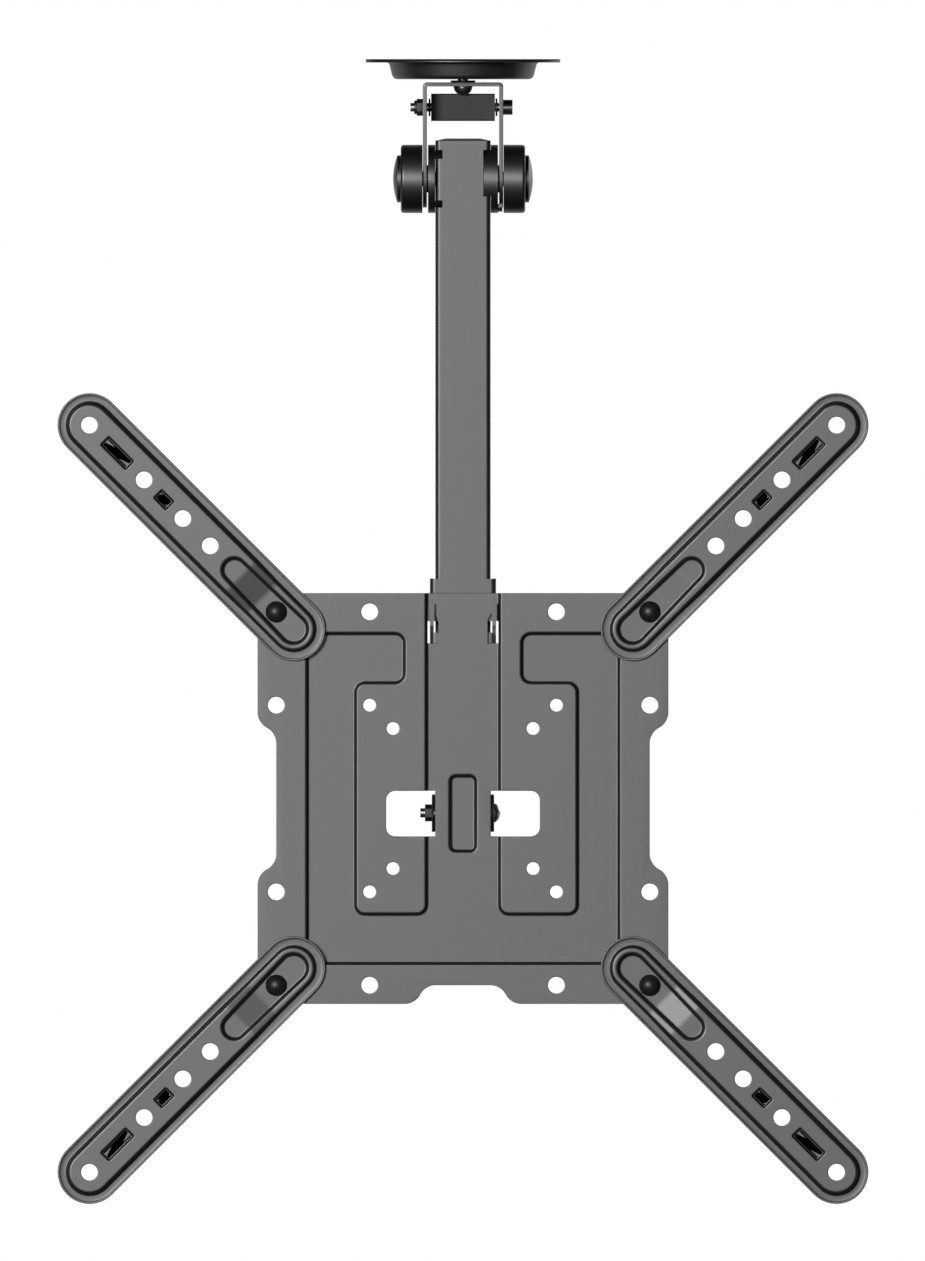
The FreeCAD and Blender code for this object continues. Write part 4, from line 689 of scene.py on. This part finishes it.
@dataclass
class ScreenPlate:
    """The pressed plate that the screen hangs on, sizes in millimetres from its middle."""

    front: Matrix = at(0, -PLATE_FRONT, -PLATE_DROP) @ TO_VIEWER
    half: float = 110.0
    sheet: float = 1.8
    step: float = 3.0
    corner: float = 12.0
    notch_depth: float = 10.0
    notch_rise: float = 5.8
    notch_round: float = 5.0
    side_notch: float = 35.0
    bottom_notch: float = 20.0
    channel: float = 19.6
    neck: float = 31.4
    island_top: float = 61.9
    island_bottom: float = -61.9
    island_left: float = -57.5
    island_right: float = 61.2
    recess_side: float = 83.5
    recess_end: float = 88.4
    recess_round: float = 5.0
    upper_fillet: float = 1.1
    lower_fillet: float = 0.8
    lean: float = 75.0
    screw_height: float = -8.1
    window_inner: float = 14.9
    window_outer: float = 41.15
    window_half: float = 12.2
    window_round: float = 4.8
    window_steps: int = 6
    ear_half: float = 9.8
    ear_reach: float = 28.1
    ear_round: float = 1.7
    emboss_side: float = 8.05
    emboss_end: float = 21.45
    emboss_round: float = 4.6
    emboss_wall: tuple[float, ...] = (-2.2, 1.3, 0.9, 64.0)
    slot_inner: float = 13.3
    slot_outer: float = 18.95
    slot_top: float = 99.9
    slot_bottom: float = 83.1
    slot_neck: float = 17.95
    slot_neck_height: float = 4.9
    slot_chamfer_run: float = 2.4
    slot_chamfer_rise: float = 4.4
    small_hole: float = 3.46
    small_places: tuple[float, ...] = (37.5, 50.0)
    large_hole: float = 4.5
    large_reach: float = 100.0
    large_offset: float = 50.0
    pivot_hole: float = 2.98
    edge_ease: float = 0.25
    overrun: float = 15.0

    def outline(self, form: Form, opening: float) -> None:
        """Lay the plate's outer edge as an open chain that leaves the channel's mouth free.

        Args:
            form: The form that gets the edge.
            opening: Half the width of the channel's mouth.
        """
        half, floor = self.half, self.half - self.notch_depth
        side, side_mouth = self.side_notch, self.side_notch + self.notch_rise
        low, low_mouth = self.bottom_notch, self.bottom_notch + self.notch_rise
        left = [
            (-opening, half),
            (-half, half),
            (-half, side_mouth),
            (-floor, side),
            (-floor, -side),
            (-half, -side_mouth),
            (-half, -half),
            (-low_mouth, -half),
            (-low, -floor),
        ]
        right = [(-x, y) for x, y in reversed(left)]

        def rounding(corner: Vector) -> float:
            """The plate's own corners are wide, the notches' narrow."""
            if abs(abs(corner.x) - half) < LEVEL and abs(abs(corner.y) - half) < LEVEL:
                return self.corner
            return 0.0 if abs(abs(corner.x) - opening) < LEVEL else self.notch_round

        face = form.rounded(form.polygon(left + right), rounding)
        mouth = [
            edge
            for edge in face.edges
            if all(abs(v.co.x) < opening + LEVEL and v.co.y > 0 for v in edge.verts)
        ]
        form.open(face)
        bmesh.ops.delete(form.bm, geom=mouth, context="EDGES")

    def recess(self, form: Form, grow: float) -> bmesh.types.BMFace:
        """Press the recess round the two raised islands.

        Args:
            form: The form that gets the recess.
            grow: How far its upper edge lies outside the middle of its wall.

        Returns:
            The recess's floor, which runs out past the plate's top.
        """
        channel, neck = self.channel + grow, self.neck - grow
        top, bottom = self.island_top - grow, self.island_bottom + grow
        left, right = self.island_left + grow, self.island_right - grow
        side, end = self.recess_side + grow, self.recess_end + grow
        beyond = self.half + self.overrun
        outer = {(-side, end), (-side, -end), (side, -end), (side, end)}
        lobes = {(-neck, top), (-neck, end), (neck, end), (neck, top)}
        corners = [
            (-channel, beyond),
            (-channel, bottom),
            (left, bottom),
            (left, top),
            (-neck, top),
            (-neck, end),
            (-side, end),
            (-side, -end),
            (side, -end),
            (side, end),
            (neck, end),
            (neck, top),
            (right, top),
            (right, bottom),
            (channel, bottom),
            (channel, beyond),
        ]

        def rounding(corner: Vector) -> float:
            """The rounding is wider at corners that the recess fills than at those it rounds."""
            if corner.y > self.half:
                return 0.0
            filled = any(
                abs(corner.x - x) + abs(corner.y - y) < LEVEL for x, y in outer | lobes
            )
            return self.recess_round + (grow if filled else -grow)

        face = form.rounded(form.polygon(corners), rounding)
        return form.press(face, self.wall())

    def wall(self) -> list[Step]:
        """The steps of the recess's wall, going in and down."""
        return press_profile(-self.step, self.upper_fillet, self.lower_fillet, self.lean)

    def sheet_form(self) -> Form:
        """Press and punch the whole front of the plate.

        Returns:
            The open sheet of its front.
        """
        form = Form()
        grow = sum(run for run, _ in self.wall()) / 2 + GUARD
        floor = self.recess(form, grow)
        form.open(floor)
        side, end = self.emboss_side + GUARD, self.emboss_end + GUARD
        emboss = form.box(-side, self.screw_height - end, side, self.screw_height + end, -self.step)
        emboss = form.rounded(emboss, lambda corner: self.emboss_round)
        form.press(emboss, press_profile(*self.emboss_wall))
        form.fill_level(-self.step)
        form.cut((0, self.half, 0), (0, 1, 0), drop=True)
        self.outline(form, self.channel + grow)
        form.weld()
        for vertex in form.bm.verts:
            if self.half - vertex.co.y < LEVEL and abs(vertex.co.x) < self.channel + grow + LEVEL:
                vertex[form.rim] = 1
        for side in (-1, 1):
            for end in (-1, 1):
                for place in self.small_places:
                    form.hole(place * side, place * end, self.small_hole, 0.0)
                reach, offset = self.large_reach, self.large_offset
                form.hole(reach * side, offset * end, self.large_hole, 0.0)
                form.hole(offset * side, reach * end, self.large_hole, 0.0)
                form.hole(PIVOT_REACH * side, PIVOT_REACH * end, self.pivot_hole, 0.0)
        form.fill_level(0.0)
        for side in (-1, 1):
            for outline in (self.window(), *self.slot()):
                form.punch(self.mirrored(outline, side))
        form.thicken((0, 0, -self.sheet), self.edge_ease)
        return form

    def window(self) -> list[Point]:
        """The right wrench window's outline."""
        low, high = self.screw_height - self.window_half, self.screw_height + self.window_half
        radius, steps = self.window_round, self.window_steps
        reach = self.window_outer - radius
        lower = arc_points((reach, low + radius), radius, -90, 0, steps)
        upper = arc_points((reach, high - radius), radius, 0, 90, steps)
        return [(self.window_inner, low)] + lower + upper + [(self.window_inner, high)]

    def slot(self) -> list[list[Point]]:
        """The outlines of the right hook slot's mouth and of the narrower neck above it."""
        shoulder = self.slot_top - self.slot_neck_height
        mouth = [
            (self.slot_inner, self.slot_bottom),
            (self.slot_outer, self.slot_bottom),
            (self.slot_outer, shoulder),
            (self.slot_inner, shoulder),
        ]
        neck = [
            (self.slot_inner, shoulder),
            (self.slot_neck, shoulder),
            (self.slot_neck, self.slot_top),
            (self.slot_inner + self.slot_chamfer_run, self.slot_top),
            (self.slot_inner, self.slot_top - self.slot_chamfer_rise),
        ]
        return [mouth, neck]

    def mirrored(self, outline: list[Point], side: int) -> list[Point]:
        """An outline on its side of the middle, still anticlockwise."""
        return outline if side > 0 else [(-x, y) for x, y in reversed(outline)]

    def ear(self, side: int) -> Form:
        """The ear folded back at a window's inner edge."""
        form = Form()
        inner, outer = self.window_inner, self.window_inner + self.sheet
        front, back = self.step, self.step + self.ear_reach
        corners = [(inner, front), (outer, front), (outer, back), (inner, back)]

        def rounding(corner: Vector) -> float:
            """The outside of the ear's fold is rounded."""
            at_fold = abs(abs(corner.x) - outer) + abs(corner.y - front) < LEVEL
            return self.ear_round if at_fold else 0.0

        face = form.rounded(form.polygon(self.mirrored(corners, side)), rounding)
        form.prism(face, 2 * self.ear_half)
        form.bm.transform(Matrix.Rotation(math.radians(-90), 4, "X"))
        form.bm.transform(Matrix.Translation((0, self.screw_height - self.ear_half, 0)))
        form.face_out()
        return form

    def build(self) -> None:
        """Shape and dress the plate and its ears."""
        piece = self.sheet_form().piece("screen_plate", self.front)
        dress(piece, "pole", Coat.POWDER, ["vesa_plate"])
        for side, name in ((-1, "plate_ear_left"), (1, "plate_ear_right")):
            ear = self.ear(side).piece(name, self.front)
            dress(ear, "pole", Coat.POWDER, ["vesa_plate"])


@dataclass
class AdapterArm:
    """A pressed arm on its diagonal, sizes in millimetres from its pivot and its back.

    Attributes:
        name: The arm's body and CAD node.
        side: -1 for a left arm, 1 for a right one.
        end: -1 for a lower arm, 1 for an upper one.
        turn: The arm's direction about the Y axis, in degrees.
    """

    name: str
    side: int
    end: int
    turn: float
    tail: float = -13.1
    tip: float = 141.42
    sheet: float = 1.78
    lip: float = 17.1
    lip_rise: float = 0.5
    lip_steps: tuple[Step, ...] = (
        (0.45, 0.0),
        (0.1, -0.06),
        (0.2, -0.3),
        (0.1, -0.04),
        (0.3, -0.04),
        (0.45, -0.035),
        (0.5, -0.02),
        (0.6, -0.005),
    )
    mesa_foot: float = 12.55
    mesa_shoulder: float = 11.8
    mesa_wall: tuple[float, ...] = (2.3, 0.8, 1.5, 70.0)
    mesa_lift: float = 2.0
    mesa_spread: float = 0.5
    ramp_start: float = 10.7
    ramp_end: float = 26.7
    ramp_cuts: tuple[float, ...] = (-1.2, -0.6, 0.0, 0.6, 1.2)
    pocket_end: float = 31.7
    pocket_tail_radius: float = 9.0
    pocket_tip_radius: float = 7.8
    pocket_wall: tuple[float, ...] = (-2.3, 1.6, 1.0, 65.0)
    hole_radius: float = 4.5
    holes: tuple[float, ...] = (50.0, 70.71, 100.0, 141.42)
    marks: tuple[Point, ...] = ((120.3, 20.2), (85.0, 10.5))
    mark_width: float = 7.6
    mark_round: float = 1.3
    mark_wall: tuple[float, ...] = (-1.5, 0.8, 0.6, 70.0)
    bolt_hole: float = 2.98
    edge_ease: float = 0.25

    def ramp(self, along: float) -> float:
        """How far the ramp has risen at a distance from the pivot, from 0 to 1."""
        share = 0.0
        for offset in self.ramp_cuts:
            rise = (along + offset - self.ramp_start) / (self.ramp_end - self.ramp_start)
            share += min(1.0, max(0.0, rise)) / len(self.ramp_cuts)
        return share

    def raise_mesa(self, form: Form) -> None:
        """Lift the arm's middle towards its tip, and spread the foot of its wall."""
        for place in (self.ramp_start, self.ramp_end):
            for offset in self.ramp_cuts:
                form.cut((place + offset, 0, 0), (1, 0, 0))
        for vertex in form.bm.verts:
            x, y, z = vertex.co
            outward = Vector((x - min(max(x, self.tail), self.tip), y, 0.0))
            if outward.length < self.mesa_shoulder:
                vertex.co.z += self.mesa_lift * self.ramp(x)
            elif outward.length < self.mesa_foot + LEVEL:
                vertex.co += outward.normalized() * self.mesa_spread * self.ramp(x)

    def sheet_form(self) -> Form:
        """Press and punch the whole front of the arm.

        Returns:
            The open sheet of its front.
        """
        form = Form()
        face = form.belt(self.tail, self.lip, self.tip, self.lip, self.sheet + self.lip_rise)
        face = form.mark_rim(face)
        face = form.step_in(face, self.lip_steps)
        band = self.lip - RIM_GUARD - sum(run for run, _ in self.lip_steps) - self.mesa_foot
        wall = press_profile(*self.mesa_wall)
        face = form.step_in(face, [(band, 0.0), *wall, (GUARD, 0.0)])
        form.open(face)
        level = self.sheet + self.mesa_wall[0]

        tail_radius, tip_radius = self.pocket_tail_radius + GUARD, self.pocket_tip_radius + GUARD
        pocket = form.belt(self.tail, tail_radius, self.pocket_end, tip_radius, level)
        floor = form.press(pocket, press_profile(*self.pocket_wall))
        form.open(floor)
        form.hole(0.0, 0.0, self.bolt_hole, self.sheet)
        for place in self.holes:
            form.hole(place, 0.0, self.hole_radius, level)
        for place, length in self.marks:
            reach, half_width = length / 2 + GUARD, self.mark_width / 2 + GUARD
            mark = form.box(place - reach, -half_width, place + reach, half_width, level)
            mark = form.rounded(mark, lambda corner: self.mark_round + GUARD, arcs=4)
            form.press(mark, press_profile(*self.mark_wall))
        form.fill_level(self.sheet)
        form.fill_level(level)
        self.raise_mesa(form)
        form.thicken((0, 0, -self.sheet), self.edge_ease)
        return form

    def build(self) -> None:
        """Shape and dress the arm."""
        pivot = at(PIVOT_REACH * self.side, -ARM_BACK, PIVOT_REACH * self.end - PLATE_DROP)
        place = pivot @ Matrix.Rotation(math.radians(self.turn), 4, "Y") @ TO_VIEWER
        piece = self.sheet_form().piece("pressed_" + self.name, place)
        dress(piece, self.name, Coat.POWDER, [self.name])


# Stage


@dataclass(frozen=True)
class Lamp:
    """A square soft lamp: its name, place and size in metres, and power in watts."""

    name: str
    place: Sequence[float]
    size: float
    power: float


@dataclass
class Studio:
    """The floor, the lights and the camera, in metres.

    Attributes:
        eye: The camera's place.
        target: What the camera looks at.
        field: Height of the picture at the target.
        sensor: The camera's sensor, in millimetres.
        far: How far the camera sees.
        lamps: The lamps.
        lamps_aim: What the lamps look at.
        sky_behind: The part of Y, of a direction, over which the room turns into the backdrop.
        room_glow: Strength of the room's light on the object.
        floor_z: The floor's height.
        floor_reach: Half the floor's width.
        floor_behind: The Y over which the floor turns into the backdrop.
        floor_paleness: The floor's base colour in sight.
        floor_bounce: Its base colour for light that it throws back.
        floor_shine: Its glow in sight.
        floor_roughness: Its roughness.
    """

    eye: Sequence[float] = (-0.00027, -20.0, -0.02)
    target: Sequence[float] = (-0.00027, -0.0221, -0.3059)
    field: float = 0.6752
    sensor: float = 36.0
    far: float = 50.0
    lamps: tuple[Lamp, ...] = (
        Lamp("key", (-2.77, -8.1, 0.93), 2.0, 505.0),
        Lamp("fill", (0.3, -6.0, -0.1), 1.0, 14.0),
        Lamp("back", (3.0, 3.6, 0.6), 1.6, 20.0),
    )
    lamps_aim: Sequence[float] = (0.0, 0.0, -0.33)
    sky_behind: tuple[float, float] = (0.8, 0.95)
    room_glow: float = 0.015
    floor_z: float = -1.0
    floor_reach: float = 9.0
    floor_behind: tuple[float, float] = (0.6, 1.6)
    floor_paleness: float = 0.8
    floor_bounce: float = 0.04
    floor_shine: float = 0.6
    floor_roughness: float = 0.8

    def camera(self) -> None:
        """Put a far camera in front of the plate, level with the ceiling dish."""
        data = bpy.data.cameras.new("camera")
        sight = Vector(self.target) - Vector(self.eye)
        data.sensor_width = self.sensor
        data.lens = data.sensor_width * sight.length / self.field
        data.clip_end = self.far
        camera = bpy.data.objects.new("camera", data)
        camera.location = self.eye
        camera.rotation_mode = "QUATERNION"
        camera.rotation_quaternion = sight.to_track_quat("-Z", "Y")
        bpy.context.scene.collection.objects.link(camera)
        bpy.context.scene.camera = camera

    def shown(
        self,
        tree: bpy.types.NodeTree,
        place: bpy.types.NodeSocket,
        hidden: float,
        shown: float,
        behind: tuple[float, float],
    ) -> bpy.types.NodeSocket:
        """A value that is full in sight and low for the rays that only carry light.

        Glossy rays see the full value behind the object alone, as a backdrop there would show.

        Args:
            tree: The node tree that gets the nodes.
            place: A direction or a place, whose Y says how far behind the object it is.
            hidden: The value for light alone.
            shown: The value in sight.
            behind: Where Y starts to count as behind the object, and where it fully does.

        Returns:
            The socket with the value.
        """
        nodes, links = tree.nodes, tree.links
        path = nodes.new("ShaderNodeLightPath")
        split = nodes.new("ShaderNodeSeparateXYZ")
        links.new(place, split.inputs["Vector"])
        backdrop = nodes.new("ShaderNodeMapRange")
        backdrop.inputs["From Min"].default_value = behind[0]
        backdrop.inputs["From Max"].default_value = behind[1]
        links.new(split.outputs["Y"], backdrop.inputs["Value"])
        mirrored = nodes.new("ShaderNodeMath")
        mirrored.operation = "MULTIPLY"
        links.new(path.outputs["Is Glossy Ray"], mirrored.inputs[0])
        links.new(backdrop.outputs["Result"], mirrored.inputs[1])
        through = nodes.new("ShaderNodeMath")
        through.operation = "MAXIMUM"
        links.new(path.outputs["Is Camera Ray"], through.inputs[0])
        links.new(path.outputs["Is Transmission Ray"], through.inputs[1])
        either = nodes.new("ShaderNodeMath")
        either.operation = "MAXIMUM"
        links.new(through.outputs["Value"], either.inputs[0])
        links.new(mirrored.outputs["Value"], either.inputs[1])
        value = nodes.new("ShaderNodeMapRange")
        value.inputs["To Min"].default_value = hidden
        value.inputs["To Max"].default_value = shown
        links.new(either.outputs["Value"], value.inputs["Value"])
        return value.outputs["Result"]

    def world(self) -> None:
        """A dim room that shows white behind the object."""
        world = bpy.data.worlds.new("studio")
        bpy.context.scene.world = world
        world.use_nodes = True
        tree = world.node_tree
        place = tree.nodes.new("ShaderNodeTexCoord")
        strength = self.shown(
            tree, place.outputs["Generated"], self.room_glow, 1.0, self.sky_behind
        )
        shine = tree.nodes["Background"]
        tree.links.new(strength, shine.inputs["Strength"])
        shine.inputs["Color"].default_value = (1.0, 1.0, 1.0, 1.0)

    def hang(self, lamp: Lamp) -> None:
        """Hang a lamp that looks at the object's middle."""
        data = bpy.data.lights.new(lamp.name, "AREA")
        data.shape = "SQUARE"
        data.size = lamp.size
        data.energy = lamp.power
        light = bpy.data.objects.new(lamp.name, data)
        light.location = lamp.place
        aim = Vector(self.lamps_aim) - Vector(lamp.place)
        light.rotation_mode = "QUATERNION"
        light.rotation_quaternion = aim.to_track_quat("-Z", "Y")
        light.visible_camera = False
        bpy.context.scene.collection.objects.link(light)

    def floor(self) -> None:
        """Lay a pale floor that can be looked through from below."""
        form = Form()
        reach = self.floor_reach / MM
        form.box(-reach, -reach, reach, reach, 0.0)
        floor = form.piece("floor", Matrix.Translation((0, 0, self.floor_z)))
        material = bpy.data.materials.new("pale_floor")
        material.use_nodes = True
        tree = material.node_tree
        place = tree.nodes.new("ShaderNodeNewGeometry")
        paleness = self.shown(
            tree,
            place.outputs["Position"],
            self.floor_bounce,
            self.floor_paleness,
            self.floor_behind,
        )
        shader = tree.nodes["Principled BSDF"]
        tree.links.new(paleness, shader.inputs["Base Color"])
        shader.inputs["Roughness"].default_value = self.floor_roughness
        glow = self.shown(
            tree, place.outputs["Position"], 0.0, self.floor_shine, self.floor_behind
        )
        shader.inputs["Emission Color"].default_value = (1.0, 1.0, 1.0, 1.0)
        tree.links.new(glow, shader.inputs["Emission Strength"])
        clear = tree.nodes.new("ShaderNodeBsdfTransparent")
        upper = tree.nodes.new("ShaderNodeMixShader")
        tree.links.new(place.outputs["Backfacing"], upper.inputs[0])
        tree.links.new(shader.outputs["BSDF"], upper.inputs[1])
        tree.links.new(clear.outputs["BSDF"], upper.inputs[2])
        tree.links.new(upper.outputs["Shader"], tree.nodes["Material Output"].inputs["Surface"])
        floor.data.materials.append(material)

    def build(self) -> None:
        """Set the whole stage."""
        self.camera()
        self.world()
        for lamp in self.lamps:
            self.hang(lamp)
        self.floor()
        settings = bpy.context.scene.view_settings
        settings.view_transform = "Standard"


ARMS = (
    AdapterArm("arm_upper_left", -1, 1, -135.0),
    AdapterArm("arm_upper_right", 1, 1, -45.0),
    AdapterArm("arm_lower_left", -1, -1, 135.0),
    AdapterArm("arm_lower_right", 1, -1, 45.0),
)
KEPT = {
    "swivel_bolt": Coat.ZINC,
    "swivel_nut": Coat.ZINC,
    "swivel_washer": Coat.BLACK_OXIDE,
    "yoke": Coat.POWDER,
    "spacer_block": Coat.MATTE_PLASTIC,
    "cross_bolt": Coat.ZINC,
    "cross_nut": Coat.BLACK_OXIDE,
    "cross_washers": Coat.BLACK_OXIDE,
    "hinge_bolt": Coat.ZINC,
    "hinge_nut": Coat.ZINC,
    "hinge_washer": Coat.ZINC,
    "disc_springs": Coat.ZINC,
    "leg_washers": Coat.BLACK_OXIDE,
    "outer_hub_left": Coat.GLOSS_PLASTIC,
    "outer_hub_right": Coat.GLOSS_PLASTIC,
    "hub_cap_left": Coat.GLOSS_PLASTIC,
    "hub_cap_right": Coat.GLOSS_PLASTIC,
    "pole": Coat.POWDER,
    "pole_top_cap": Coat.MATTE_PLASTIC,
    "pole_bottom_cap": Coat.MATTE_PLASTIC,
    "inner_hub_left": Coat.GLOSS_PLASTIC,
    "inner_hub_right": Coat.GLOSS_PLASTIC,
    "hinge_sleeve": Coat.ZINC,
    "hook_bracket": Coat.POWDER,
    "plate_screw": Coat.ZINC,
    "plate_nut": Coat.BLACK_OXIDE,
    "bracket_screw": Coat.BLACK_OXIDE,
    "bracket_nut": Coat.BLACK_OXIDE,
    "arm_bolts": Coat.BLACK_OXIDE,
    "arm_washers": Coat.BLACK_OXIDE,
    "arm_nuts": Coat.BLACK_OXIDE,
}


def main() -> None:
    """Build every sub-assembly, then the stage, the lights and the camera."""
    logging.basicConfig(level=logging.INFO, format="%(message)s")
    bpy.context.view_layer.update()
    CeilingDish().build()
    ScreenPlate().build()
    for arm in ARMS:
        arm.build()
    for node, coat in KEPT.items():
        dress_node(node, coat)
    Studio().build()


if __name__ == "__main__":
    main()
